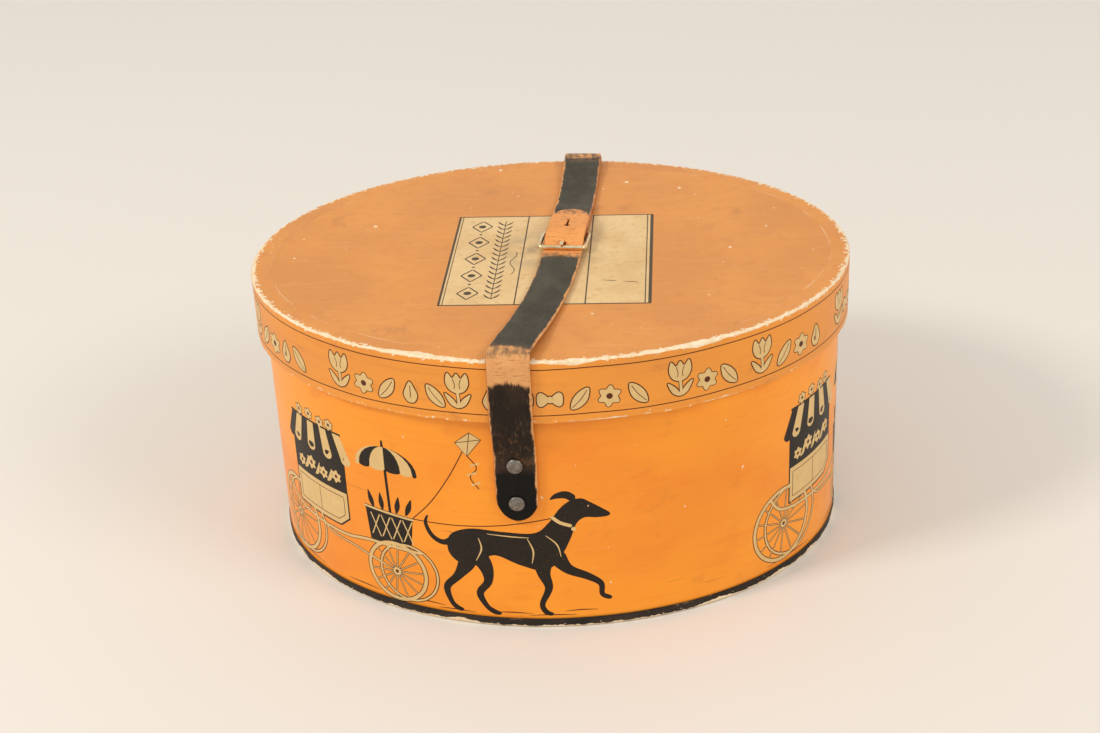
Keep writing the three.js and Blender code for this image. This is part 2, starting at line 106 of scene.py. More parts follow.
class Finish:
    """One node-based material. Its methods each add nodes and return the result socket.

    Patterns are laid out in millimetres by the "surface" attribute of the meshes, and
    `*pattern` stands for the arguments of noise. Colours are sockets or 8-bit screen colours.
    """

    def __init__(self, name, roughness, **constants):
        self.material = bpy.data.materials.new(name)
        self.material.use_nodes = True
        self.nodes = self.material.node_tree.nodes
        self.links = self.material.node_tree.links
        self.shader = self.nodes["Principled BSDF"]
        self.middle_roughness = roughness
        self.shader.inputs["Roughness"].default_value = roughness
        for socket, value in constants.items():
            self.shader.inputs[socket.replace("_", " ")].default_value = value
        attribute = self.nodes.new("ShaderNodeAttribute")
        attribute.attribute_name = "surface"
        self.surface = attribute.outputs["Vector"]
        separate = self.nodes.new("ShaderNodeSeparateXYZ")
        self.links.new(self.surface, separate.inputs[0])
        self.along, self.up, self.third = separate.outputs

    def feed(self, socket, value):
        if isinstance(value, bpy.types.NodeSocket):
            self.links.new(value, socket)
        else:
            socket.default_value = value

    def noise(self, size, stretch=(1, 1, 1), detail=3.0, rough=0.55, shift=0.0):
        """Noise whose features are about `size` mm, longer by `stretch` on each axis."""
        scale = self.nodes.new("ShaderNodeVectorMath")
        scale.operation = "MULTIPLY_ADD"
        self.links.new(self.surface, scale.inputs[0])
        scale.inputs[1].default_value = [1 / (size * s) for s in stretch]
        scale.inputs[2].default_value = (shift, shift * 0.7, shift * 1.3)
        texture = self.nodes.new("ShaderNodeTexNoise")
        for socket, value in (("Scale", 1.0), ("Detail", detail), ("Roughness", rough)):
            texture.inputs[socket].default_value = value
        self.links.new(scale.outputs[0], texture.inputs["Vector"])
        return texture.outputs["Fac"]

    def step(self, value, low, high):
        """0 below low and 1 above high, smooth between. low may be the larger."""
        node = self.nodes.new("ShaderNodeMapRange")
        node.interpolation_type = "SMOOTHSTEP"
        self.feed(node.inputs["Value"], value)
        limits = (min(low, high), max(low, high), float(low > high), float(low < high))
        for socket, limit in zip(("From Min", "From Max", "To Min", "To Max"), limits):
            node.inputs[socket].default_value = limit
        return node.outputs["Result"]

    def maths(self, operation, *values):
        node = self.nodes.new("ShaderNodeMath")
        node.operation = operation
        for socket, value in zip(node.inputs, values):
            self.feed(socket, value)
        return node.outputs[0]

    def plus(self, first, second):
        return self.maths("ADD", first, second)

    def times(self, first, second):
        return self.maths("MULTIPLY", first, second)

    def mix(self, share, *colours):
        node = self.nodes.new("ShaderNodeMix")
        node.data_type = "RGBA"
        self.feed(node.inputs[0], share)
        for socket, colour in zip(node.inputs[6:8], colours):
            self.feed(socket, paint(*colour) if isinstance(colour, tuple) else colour)
        return node.outputs[2]

    def patches(self, low, high, *pattern, **named):
        """1 where a pattern is above high, and 0 where it is below low."""
        return self.step(self.noise(*pattern, **named), low, high)

    def stained(self, colour, share, stain, low, high, *pattern, **named):
        """The colour with patches stained by a share of a second colour."""
        where = self.patches(low, high, *pattern, **named)
        return self.mix(self.times(where, share), colour, stain)

    def roughness(self, spread, value):
        """Roughness that wanders by `spread` about its middle with a 0 to 1 value."""
        wandering = self.maths("MULTIPLY_ADD", value, 2 * spread, self.middle_roughness - spread)
        self.feed(self.shader.inputs["Roughness"], wandering)

    def made(self, colour, *relief):
        """The finished material, from its colour and (height value, depth in mm) layers."""
        self.feed(self.shader.inputs["Base Color"], colour)
        previous = None
        for height, depth in relief:
            node = self.nodes.new("ShaderNodeBump")
            node.inputs["Distance"].default_value = depth * MM
            self.feed(node.inputs["Height"], height)
            if previous:
                self.links.new(previous, node.inputs["Normal"])
            previous = node.outputs[0]
        self.links.new(previous, self.shader.inputs["Normal"])
        return self.material


def flaked(finish, colour, nearness, seed):
    """The colour with its printed face flaked off in islands, more of them where nearness
    to a worn edge rises from 0 to 1."""
    reach = finish.plus(finish.noise(1.9, (1.5, 1, 1.2), 4, 0.62, seed), finish.times(nearness, 0.27))
    bare = finish.mix(finish.noise(2.5, detail=3), (248, 228, 196), (232, 200, 154))
    return finish.mix(finish.step(reach, 0.735, 0.75), colour, bare)


def printed_paper():
    """Varnished orange paper: long soft streaks, grime, fine scratches and rubbed specks."""
    finish = Finish("printed_paper", 0.34, IOR=1.42)
    cloud = finish.patches(0.35, 0.65, 70, (2.5, 1, 1), 2)
    colour = finish.mix(cloud, (252, 157, 38), (243, 143, 36))
    colour = finish.stained(colour, 0.4, (238, 128, 30), 0.5, 0.72, 24, (1.6, 1, 1), 4, 0.6, 63)
    colour = finish.stained(colour, 0.22, (234, 126, 36), 0.5, 0.75, 3.2, (22, 1, 1), 3, 0.6, 5)
    colour = finish.stained(colour, 0.16, (255, 168, 84), 0.62, 0.75, 1.4, (40, 1, 1), 2, 0.5, 9)
    colour = finish.stained(colour, 0.35, (196, 108, 44), 0.58, 0.78, 26, (1, 1, 1), 5, 0.65, 17)
    scratch = finish.patches(0.70, 0.76, 0.8, (30, 1, 1), 2, 0.5, 31)
    scratch = finish.times(scratch, finish.patches(0.5, 0.6, 35, shift=3))
    colour = finish.mix(finish.times(scratch, 0.6), colour, (128, 66, 30))
    colour = finish.stained(colour, 0.85, (240, 205, 160), 0.755, 0.775, 1.3, detail=2, shift=51)
    finish.roughness(0.1, finish.noise(18, (3, 1, 1), 4, shift=8))
    fibre = finish.noise(0.7, (2, 1, 1), 2)
    return finish.made(colour, (finish.noise(38, (1.4, 1, 1), 2, shift=2), 0.5), (fibre, 0.012))


def band_paper():
    """The same paper on the lid, duller from handling and sunlight, flaked at its edges."""
    finish = Finish("band_paper", 0.42, IOR=1.42)
    cloud = finish.patches(0.35, 0.68, 60, (2.5, 1, 1), 3)
    colour = finish.mix(cloud, (240, 152, 52), (228, 145, 58))
    colour = finish.stained(colour, 0.4, (216, 132, 52), 0.5, 0.72, 3.0, (18, 1, 1), 3, 0.6, 5)
    colour = finish.stained(colour, 0.4, (186, 112, 60), 0.56, 0.74, 14, detail=5, rough=0.65, shift=23)
    near_rim = finish.step(finish.up, LID_TOP - 4.2, LID_TOP + 0.8)
    near_lip = finish.times(finish.step(finish.up, SKIRT_BOTTOM + 3.6, SKIRT_BOTTOM - 0.6), 0.6)
    colour = flaked(finish, colour, finish.plus(near_rim, near_lip), 12)
    finish.roughness(0.1, finish.noise(16, (3, 1, 1), 4, shift=8))
    fibre = finish.noise(0.7, detail=2)
    return finish.made(colour, (finish.noise(34, (1.4, 1, 1), 2, shift=2), 0.4), (fibre, 0.012))


def top_paper(name, rim=False):
    """Sun-faded paper of the lid's top: mottled, with brownish stains and tiny chips. On
    the rim, where the third surface value is the inset, it flakes off in islands too."""
    finish = Finish(name, 0.5, IOR=1.4)
    cloud = finish.patches(0.35, 0.65, 75, detail=3, rough=0.5)
    colour = finish.mix(cloud, (226, 150, 73), (215, 141, 71))
    colour = finish.stained(colour, 0.35, (206, 128, 68), 0.45, 0.7, 9, detail=5, rough=0.7, shift=4)
    colour = finish.stained(colour, 0.3, (232, 166, 104), 0.55, 0.72, 2.2, (16, 1, 1), 3, 0.6, 7)
    colour = finish.stained(colour, 0.4, (178, 112, 62), 0.62, 0.76, 20, (1, 1.6, 1), 4, 0.6, 41)
    colour = finish.stained(colour, 0.8, (240, 218, 182), 0.74, 0.76, 1.2, detail=2, shift=77)
    colour = finish.stained(colour, 0.7, (120, 70, 40), 0.755, 0.775, 1.1, detail=2, shift=91)
    if rim:
        colour = flaked(finish, colour, finish.step(finish.third, 6.5, 0.5), 77)
    finish.roughness(0.08, finish.noise(12, detail=4, shift=8))
    fibre = finish.noise(0.8, detail=3)
    return finish.made(colour, (finish.noise(42, detail=2, shift=2), 0.5), (fibre, 0.015))


def cream_core():
    """Bare paper and board where the printed face has chipped away."""
    finish = Finish("chipped_core", 0.9, IOR=1.3)
    colour = finish.mix(finish.patches(0.3, 0.7, 3.5, detail=4), (248, 230, 200), (236, 208, 166))
    colour = finish.stained(colour, 0.3, (200, 158, 112), 0.58, 0.7, 1.6, detail=3, shift=14)
    return finish.made(colour, (finish.noise(1.1, detail=4, rough=0.7), 0.04))


def black_tape():
    """Edge binding: black cloth-grained paper, greyed, rubbed and flaked along its foot."""
    finish = Finish("black_tape", 0.55, Specular_IOR_Level=0.2)
    tone = finish.noise(12, (2, 1, 1), 4)
    colour = finish.mix(finish.step(tone, 0.35, 0.7), (36, 31, 27), (58, 48, 40))
    colour = finish.stained(colour, 0.7, (150, 120, 88), 0.66, 0.72, 1.6, (3, 1, 1), 3, 0.6, 6)
    colour = flaked(finish, colour, finish.times(finish.step(finish.up, 4.6, 0.4), 0.5), 6)
    finish.roughness(0.1, tone)
    return finish.made(colour, (finish.noise(0.9, detail=3), 0.05))


def plain_paper():
    """Uncoated lining paper, yellowed in patches."""
    finish = Finish("plain_paper", 0.88, IOR=1.3)
    colour = finish.mix(finish.noise(45, detail=4), (226, 210, 176), (208, 186, 146))
    colour = finish.stained(colour, 0.5, (176, 140, 96), 0.66, 0.74, 5, detail=4, shift=21)
    return finish.made(colour, (finish.noise(0.6, (3, 1, 1), 3), 0.03))


def grey_board():
    """Pulp board with flecks and torn fibres."""
    finish = Finish("grey_board", 0.95, IOR=1.3)
    colour = finish.mix(finish.noise(4, detail=5), (190, 172, 140), (158, 140, 112))
    colour = finish.stained(colour, 0.5, (110, 94, 74), 0.64, 0.7, 0.8, (4, 1, 1), 2, shift=2)
    return finish.made(colour, (finish.noise(1.0, detail=4), 0.1))


def ink(name, dark, light, wear):
    """Printing ink, mottled, with the paper showing through here and there."""
    finish = Finish(name, 0.4, Specular_IOR_Level=0.2)
    colour = finish.mix(finish.noise(6, detail=4), dark, light)
    colour = finish.stained(colour, wear, (222, 130, 58), 0.66, 0.72, 0.9, (2, 1, 1), 3, 0.6, 3)
    finish.roughness(0.08, finish.noise(10))
    return finish.made(colour, (finish.noise(0.8, detail=2), 0.01))


def panel_paper():
    """The cream printed panel on the lid, tanned, with grey grime and painted shadow beside the buckle."""
    finish = Finish("panel_paper", 0.48, IOR=1.4)
    cloud = finish.patches(0.3, 0.7, 34, detail=4, rough=0.6)
    colour = finish.mix(cloud, (232, 198, 142), (218, 178, 120))
    mottle = finish.patches(0.5, 0.72, 4, detail=4, shift=6)
    colour = finish.mix(finish.times(mottle, 0.35), colour, (198, 152, 96))
    # Grey grime mixed with painted shadow round the raised buckle, fading with distance from it.
    grime_and_shadow = finish.patches(0.35, 0.65, 11, detail=4, shift=9)
    beside = finish.maths("ABSOLUTE", finish.along)
    before = finish.maths("ABSOLUTE", finish.plus(finish.up, -12))
    for distance, far, near in ((beside, 34, 14), (before, 34, 8)):
        grime_and_shadow = finish.times(grime_and_shadow, finish.step(distance, far, near))
    colour = finish.mix(finish.times(grime_and_shadow, 0.7), colour, (160, 138, 106))
    colour = finish.stained(colour, 1, (244, 226, 190), 0.73, 0.75, 1.4, detail=2, shift=33)
    finish.roughness(0.08, mottle)
    return finish.made(colour, (finish.noise(0.7, detail=3), 0.012))


def strap_leather(name, tan_zones, grey_zones, dark_end, rich_from, lid_from, soiling=0.75):
    """Black-dyed bridle leather worn back to tan along its edges and in the given zones, and greyed on the
    lid by dust and a painted sheen.

    The surface attribute holds: distance across from the middle, distance along from the
    foot, and 1 on the grain side, 0 on the cut edge, -1 on the flesh side. A zone is
    (start, end, softness), all distances along the strap.
    """
    finish = Finish(name, 0.5, Specular_IOR_Level=0.12)
    ragged = finish.plus(finish.noise(1.7, (0.8, 3.6, 1), 6, 0.8), -0.5)
    broad = finish.plus(finish.noise(11, detail=3, shift=13), -0.5)

    def zone(place, start, end, soft):
        place = finish.plus(place, finish.times(ragged, 6 * soft))
        begun = finish.step(place, start - soft, start + soft)
        return finish.times(begun, finish.step(place, end + soft, end - soft))

    # Worn edges: wide in places, and patches where the strap was bent.
    shaken = finish.plus(finish.times(ragged, 3.0), finish.times(broad, 2.6))
    worn = finish.step(finish.plus(finish.maths("ABSOLUTE", finish.along), shaken), 10.2, 11.2)
    arched = finish.maths("MULTIPLY_ADD", finish.along, finish.times(finish.along, 0.022), finish.up)
    for tan_zone in tan_zones:
        worn = finish.maths("MAXIMUM", worn, zone(arched, *tan_zone))

    tone = finish.patches(0.35, 0.7, 16, (1, 2, 1), 4, shift=2)
    leg = finish.mix(tone, (36, 27, 20), (60, 44, 33))
    # On the lid the black is painted a paler grey: partly dust, partly a painted sheen where the strap lies
    # face up.
    dust_and_sheen = finish.mix(tone, (66, 61, 50), (84, 78, 65))
    black = finish.mix(finish.step(finish.up, lid_from - 2, lid_from + 2), leg, dust_and_sheen)
    black = finish.stained(black, 0.45, (112, 92, 72), 0.60, 0.74, 1.1, (1, 7, 1), 3, 0.6, 19)
    rubbed = finish.patches(0.50, 0.66, 5, (1, 1.4, 1), 5, 0.7, 29)
    rubbed = finish.times(rubbed, finish.step(finish.up, lid_from - 42, lid_from - 56))
    black = finish.mix(finish.times(rubbed, 0.5), black, (110, 74, 50))
    black = finish.mix(
        finish.times(finish.step(finish.up, dark_end + 3, dark_end - 3), 0.95), black, (16, 15, 13)
    )
    pale_tan = finish.mix(finish.noise(6, detail=4, shift=83), (232, 174, 112), (208, 142, 90))
    rich_tan = finish.mix(finish.noise(7, detail=4, shift=27), (244, 170, 100), (222, 142, 78))
    tan = finish.mix(finish.step(finish.up, rich_from - 4, rich_from + 4), pale_tan, rich_tan)
    tan = finish.stained(tan, 0.6, (132, 72, 40), 0.57, 0.64, 1.0, (7, 1, 1), 5, 0.7, 37)
    tan = finish.stained(tan, 0.4, (150, 104, 72), 0.56, 0.72, 5, (1, 1.5, 1), 5, 0.7, 47)
    colour = finish.mix(worn, black, tan)
    smear = finish.patches(0.3, 0.62, 2.4, (1, 1.6, 1), 4, shift=57)
    for grey_zone in grey_zones:
        greyed = finish.times(zone(finish.up, *grey_zone), smear)
        colour = finish.mix(finish.times(greyed, soiling), colour, (104, 84, 66))

    # Cut edges and flesh side are undyed.
    raw = finish.mix(finish.noise(2.2, detail=4, shift=3), (206, 132, 82), (160, 96, 58))
    colour = finish.mix(finish.step(finish.third, 0.55, 0.2), colour, raw)
    finish.roughness(0.14, finish.noise(6, detail=4, shift=71))
    folds = finish.noise(1.2, (10, 1, 1), 3, shift=43)
    return finish.made(colour, (folds, 0.12), (finish.noise(0.7, detail=3, rough=0.6), 0.05))


def waxed_thread():
    """Yellowed linen thread, darkened with wax and dirt between its twists."""
    finish = Finish("waxed_thread", 0.6, Specular_IOR_Level=0.3)
    twist = finish.noise(0.5, (3, 1, 1), 2)
    colour = finish.mix(finish.step(twist, 0.4, 0.65), (206, 174, 118), (120, 88, 54))
    return finish.made(colour, (twist, 0.05))


def dull_steel():
    """Old plated rivet metal: grey, pitted, darker in the middle of its wear."""
    finish = Finish("dull_steel", 0.4, Metallic=1.0)
    tone = finish.noise(2.2, detail=4)
    colour = finish.mix(finish.step(tone, 0.35, 0.65), (140, 134, 126), (112, 105, 97))
    colour = finish.stained(colour, 0.4, (84, 72, 60), 0.62, 0.7, 0.6, detail=3, shift=4)
    finish.roughness(0.12, tone)
    return finish.made(colour, (finish.noise(0.9, detail=3), 0.012))


def worn_brass():
    """Polished yellow buckle metal with brown tarnish in its low spots."""
    finish = Finish("worn_brass", 0.15, Metallic=1.0)
    tone = finish.noise(3.0, detail=4)
    colour = finish.mix(finish.step(tone, 0.35, 0.7), (255, 238, 200), (236, 204, 146))
    colour = finish.stained(colour, 0.6, (120, 88, 50), 0.6, 0.72, 1.1, detail=4, shift=4)
    finish.roughness(0.07, tone)
    return finish.made(colour, (finish.noise(0.6, (3, 1, 1), 3), 0.02))


# ------------------------------------------------------------- meshes


def piece(name, vertices, faces, material, body, replaces=(), surface=None, sharp=40):
    """A mesh from corners in millimetres, riding on a CAD body."""
    vertices = np.asarray(vertices, float)
    mesh = bpy.data.meshes.new(name)
    mesh.from_pydata((vertices * MM).tolist(), [], [list(face) for face in faces])
    layout = mesh.attributes.new("surface", "FLOAT_VECTOR", "POINT")
    values = vertices if surface is None else np.asarray(surface, float)
    layout.data.foreach_set("vector", values.astype(np.float32).ravel())
    edit = bmesh.new()
    edit.from_mesh(mesh)
    bmesh.ops.recalc_face_normals(edit, faces=edit.faces)
    edit.to_mesh(mesh)
    edit.free()
    mesh.polygons.foreach_set("use_smooth", [True] * len(mesh.polygons))
    mesh.set_sharp_from_angle(angle=math.radians(sharp))
    mesh.materials.append(material)
    item = bpy.data.objects.new(name, mesh)
    bpy.context.scene.collection.objects.link(item)
    if body:
        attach(item, body)
    if replaces:
        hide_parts(*replaces)
    return item


def tube_faces(rows, count, looped=False, capped=True, first=0):
    """Faces of a tube: rows of `count` corners each, numbered from first. A looped tube
    ends where it starts, and any other is capped at both ends unless told otherwise."""
    faces = [
        (row + k, row + (k + 1) % count, after + (k + 1) % count, after + k)
        for row, after in (
            (first + index * count, first + (index + 1) % rows * count)
            for index in range(rows if looped else rows - 1)
        )
        for k in range(count)
    ]
    if capped and not looped:
        last = first + rows * count
        faces += [range(first, first + count), range(last - count, last)]
    return faces


class Oval:
    """The oval outline at one inset from the lid's outer face."""

    def __init__(self, inset):
        self.a, self.b = HALF_LENGTH - inset, HALF_WIDTH - inset
        self.turns = np.linspace(-math.pi, math.pi, 7201)
        x, y = self.a * np.sin(self.turns), -self.b * np.cos(self.turns)
        steps = np.hypot(np.diff(x), np.diff(y))
        self.places = np.concatenate([[0], np.cumsum(steps)])
        self.length = self.places[-1]
        self.places -= self.length / 2

    def turn_at(self, place):
        wrapped = (np.asarray(place) + self.length / 2) % self.length - self.length / 2
        return np.interp(wrapped, self.places, self.turns)

    def onto(self, place, z, proud):
        """Points on the upright wall, standing `proud` of it."""
        turn = self.turn_at(place)
        out = np.stack([np.sin(turn) / self.a, -np.cos(turn) / self.b], 1)
        out /= np.linalg.norm(out, axis=1)[:, None]
        points = np.stack([self.a * np.sin(turn), -self.b * np.cos(turn)], 1) + proud * out
        return np.column_stack([points, z])


outer_oval = Oval(0)
wall_oval = Oval(WALL_INSET)
ring_places = np.linspace(-outer_oval.length / 2, outer_oval.length / 2, RING_COUNT + 1)
ring_turns = np.interp(ring_places, outer_oval.places, outer_oval.turns)


def ring(name, profile, material, body, replaces=()):
    """A strip bent into a ring, its ends meeting at the back. The profile is a closed
    outline of (inset, z) corners, each a number or an array with a value per place."""
    inset, z = (
        np.stack([np.broadcast_to(corner[k], RING_COUNT + 1) for corner in profile], 1) for k in (0, 1)
    )
    x = (HALF_LENGTH - inset) * np.sin(ring_turns)[:, None]
    y = -(HALF_WIDTH - inset) * np.cos(ring_turns)[:, None]
    places = np.broadcast_to(ring_places[:, None], inset.shape)
    vertices, surface = (np.stack(layers, 2).reshape(-1, 3) for layers in ((x, y, z), (places, z, inset)))
    faces = tube_faces(RING_COUNT + 1, len(profile))
    return piece(name, vertices, faces, material, body, replaces, surface)


def liner(name, node, material):
    """A plain upright liner, as its CAD node has it."""
    low, high = box_mm(node)
    outer = HALF_LENGTH - high.x
    inner = outer + PAPER
    profile = [(outer, low.z), (outer, high.z), (inner, high.z), (inner, low.z)]
    ring(name, profile, material, node.split("_")[0], [node])


def disc(name, node, material):
    """A flat oval sheet as its CAD node has it, its upper edge slightly rounded, made of
    rings round a centre."""
    (_, _, low), (right, _, high) = box_mm(node)
    inset = HALF_LENGTH - right
    rounding = 0.15
    coarse = [20 * k for k in range(1, 7)]
    levels = [(inset + k, high) for k in (*coarse[::-1], 6, 1, rounding)]
    levels += [(inset, high - rounding)]
    levels += [(inset + k, low) for k in (0, 6, *coarse)]
    count = 240
    turns = np.linspace(0, 2 * math.pi, count, endpoint=False)
    vertices = [(0, 0, high)]
    for ring_inset, z in levels:
        x = (HALF_LENGTH - ring_inset) * np.sin(turns)
        y = -(HALF_WIDTH - ring_inset) * np.cos(turns)
        vertices += np.column_stack([x, y, np.full(count, z)]).tolist()
    vertices.append((0, 0, low))
    faces = tube_faces(len(levels), count, capped=False, first=1)
    for centre, start in ((0, 1), (len(vertices) - 1, len(vertices) - 1 - count)):
        faces += [(centre, start + k, start + (k + 1) % count) for k in range(count)]
    return piece(name, vertices, faces, material, node.split("_")[0], [node])


def ragged(seed, *layers):
    """An uneven depth for each place round the ring, never negative. Each layer is
    (knots round the ring, depth, share left at zero)."""
    source = np.random.default_rng(seed)
    places = np.arange(RING_COUNT + 1)
    total = np.zeros(RING_COUNT + 1)
    for knots, depth, empty in layers:
        values = np.clip(source.random(knots) - empty, 0, None) / (1 - empty)
        values = np.append(values, values[0])
        total += depth * np.interp(places, np.linspace(0, RING_COUNT, knots + 1), values)
    return total


def rounded_corner(inset, z, radius, towards):
    """Three profile corners that round an edge off, from its upright side to its flat
    one. towards is +1 or -1 for each direction in which the sheet lies."""
    inward, up = towards
    return [
        (inset, z + up * radius),
        (inset + inward * 0.3 * radius, z + up * 0.3 * radius),
        (inset + inward * radius, z),
    ]


# ------------------------------------------------------------- base

UNDER_TAPE = 9  # how far the tape turns in under the floor
MID_WALL = 60
WALL_RIM_ROUND = 0.9  # where the paper turns over the rim
FOOT_ROUND = 1.6


def build_base(finishes):
    """The glued carton: papers round the wall and the black tape on its bottom edge."""
    wall_liner_top = wall_liner_high.z + GAP
    inner = HALF_LENGTH - wall_liner_high.x + PAPER
    foot = tape_low.z + 0.6
    rim = WALL_RIM_ROUND
    wall_profile = [
        (WALL_INSET, foot),
        (WALL_INSET, MID_WALL),
        (WALL_INSET, RIM_TOP - 12),
        *rounded_corner(WALL_INSET, RIM_TOP, rim, (1, -1)),
        *rounded_corner(inner, RIM_TOP, rim, (-1, -1))[::-1],
        (inner, wall_liner_top),
        (inner - PAPER, wall_liner_top),
        (inner - PAPER, RIM_TOP - PAPER - rim),
        (inner - rim - PAPER, RIM_TOP - PAPER),
        (WALL_INSET + rim + PAPER, RIM_TOP - PAPER),
        (WALL_INSET + PAPER, RIM_TOP - PAPER - rim),
        (WALL_INSET + PAPER, MID_WALL),
        (WALL_INSET + PAPER, foot),
    ]
    ring("wall_paper", wall_profile, finishes["printed"], "base", ["base_wall_paper"])
    liner("wall_liner", "base_wall_liner", finishes["plain"])
    disc("floor_liner", "base_floor_liner", finishes["plain"])
    disc("bottom_paper", "base_bottom_paper", finishes["plain"])

    # The tape's black face is chipped away along the bottom corner, over a paler core.
    bottom = tape_low.z
    core_inset = TAPE_INSET + SKIN
    under = TAPE_INSET + UNDER_TAPE
    behind = WALL_INSET - 0.05
    core_profile = [
        (core_inset, TAPE_TOP - 1.0),
        (core_inset, 4.0),
        *rounded_corner(core_inset, bottom, FOOT_ROUND, (1, 1)),
        (under, bottom),
        (under, PAPER),
        (core_inset + FOOT_ROUND + 0.2, PAPER),
        (behind, bottom + FOOT_ROUND + 0.2),
        (behind, TAPE_TOP - 1.0),
    ]
    ring("tape_core", core_profile, finishes["core"], "base")
    chipped = bottom + 0.9 + ragged(7, (170, 0.8, 0.1), (800, 0.8, 0.3), (90, 2.4, 0.76))
    levels = [TAPE_TOP - ragged(8, (60, 0.25, 0.2)), 4.4, np.minimum(chipped, 3.9)]
    face = [(TAPE_INSET, z) for z in levels]
    back = [(core_inset + 0.02, z) for z in reversed(levels)]
    ring("edge_tape", face + back, finishes["tape"], "base", ["base_edge_tape"])


# ------------------------------------------------------------- lid

RIM_ROUND = 1.3
LIP_ROUND = 0.8
TURNED_IN = 8.7  # how far up inside the band its paper reaches


def rim_curve(distance, depth):
    """A point of the lid's outer profile, `distance` past the rim's corner onto the top
    (negative: down the skirt), and `depth` below the surface."""
    quarter = RIM_ROUND * math.pi / 4
    distance = np.asarray(distance, float)
    angle = np.clip(distance / RIM_ROUND + math.pi / 4, 0, math.pi / 2)
    radius = RIM_ROUND - depth
    inset = RIM_ROUND - radius * np.cos(angle) + np.clip(distance - quarter, 0, None)
    z = LID_TOP - RIM_ROUND + radius * np.sin(angle) + np.clip(distance + quarter, None, 0)
    return inset, z


def printed_face(name, rows, material, replaces=()):
    """A thin printed face along the lid's outer profile, between rows of distances."""
    face = [rim_curve(row, 0.0) for row in rows]
    back = [rim_curve(row, SKIN + 0.02) for row in reversed(rows)]
    ring(name, face + back, material, "lid", replaces)


def build_lid(finishes):
    """The lid's papers. The printed face is worn off its rim, which shows the core."""
    liner_in = HALF_LENGTH - band_liner_high.x
    turned_in = SKIRT_BOTTOM + TURNED_IN
    over_lip = SKIRT_BOTTOM + PAPER
    under_top = LID_TOP - PAPER
    soft = 0.4  # slight rounding on the hidden side
    outline = [rim_curve(q, SKIN) for q in (-9, -3, -1, -0.5, 0, 0.5, 1, 3, TOP_PAPER_INSET)]
    core_profile = [
        (liner_in + PAPER, turned_in),
        *rounded_corner(liner_in + PAPER, SKIRT_BOTTOM, LIP_ROUND, (-1, 1)),
        *rounded_corner(SKIN, SKIRT_BOTTOM, LIP_ROUND, (1, 1))[::-1],
        (SKIN, SKIRT_BOTTOM + 14),
        *outline,
        (outline[-1][0], under_top),
        (PAPER + 1.2, under_top),
        (PAPER, under_top - 1.2),
        (PAPER, over_lip + soft),
        (PAPER + soft, over_lip),
        (liner_in - soft, over_lip),
        (liner_in, over_lip + soft),
        (liner_in, turned_in),
    ]
    ring("lid_edge_core", core_profile, finishes["core"], "lid")

    # Printed face of the skirt, from the lower lip up to the ragged rim.
    bend = RIM_ROUND * (1 - math.pi / 4)
    chips = 0.1 + ragged(21, (240, 0.4, 0.45), (800, 0.5, 0.35), (70, 1.8, 0.84))
    lip_chips = 0.1 + ragged(22, (160, 1.0, 0.55), (420, 0.5, 0.5), (30, 2.0, 0.85))
    low = SKIRT_BOTTOM - LID_TOP + lip_chips
    rows = [low, low + 0.8, -25.0, -15.0, -8.0, -8.0 + (8.0 - chips) * 0.6, -chips - 0.4, -chips]
    rows = [np.broadcast_to(row, RING_COUNT + 1) - bend for row in rows]
    printed_face("band_paper", rows, finishes["band"], ["lid_band_paper"])

    # The same paper turned over onto the top.
    front = 0.2 + 0.4 * (1 + np.cos(ring_turns))
    wear = ragged(23, (120, 1.3, 0.35), (800, 1.0, 0.3), (180, 2.4, 0.76), (40, 4.0, 0.86))
    begin = 0.1 + front * wear
    end = TOP_PAPER_INSET - GAP - ragged(24, (200, 0.35, 0.0), (60, 0.4, 0.3))
    rows = [row + bend for row in (begin, begin + 0.4, begin + (end - begin) * 0.5, end)]
    printed_face("turned_over_paper", rows, finishes["rim"])

    disc("top_paper", "lid_top_paper", finishes["top"])
    disc("top_liner", "lid_top_liner", finishes["plain"])
    liner("band_liner", "lid_band_liner", finishes["plain"])


# ------------------------------------------------------------- drawn shapes
# A shape is (points, cells): flat points (place, height) and the cells between them.

SPACING = 3.0  # longest straight step of a shape, so that it follows the oval


def smooth(points, closed=True, steps=6):
    """A smooth line through points that may carry a width as a third number."""
    points = np.asarray(points, float)
    count = len(points)
    line = []
    for i in range(count if closed else count - 1):
        around = [(i + k) % count if closed else min(max(i + k, 0), count - 1) for k in (-1, 0, 1, 2)]
        before, here, there, after = points[around]
        bend = 2 * before - 5 * here + 4 * there - after
        twist = 3 * here - before - 3 * there + after
        for t in np.arange(steps) / steps:
            line.append(0.5 * (2 * here + (there - before) * t + bend * t**2 + twist * t**3))
    if not closed:
        line.append(points[-1])
    return np.array(line)


def circle(middle, radius, count):
    turns = np.linspace(0, 2 * math.pi, count, endpoint=False)
    return np.column_stack([middle[0] + radius * np.cos(turns), middle[1] + radius * np.sin(turns)])


def inside(points, loops):
    """Which points lie inside the loops, by the even-odd rule."""
    result = np.zeros(len(points), bool)
    for loop in loops:
        ahead = np.roll(loop, -1, axis=0)
        for (x0, y0), (x1, y1) in zip(loop, ahead):
            if y0 == y1:
                continue
            spans = (points[:, 1] >= min(y0, y1)) & (points[:, 1] < max(y0, y1))
            crossing = x0 + (points[:, 1] - y0) * (x1 - x0) / (y1 - y0)
            result ^= spans & (points[:, 0] < crossing)
    return result


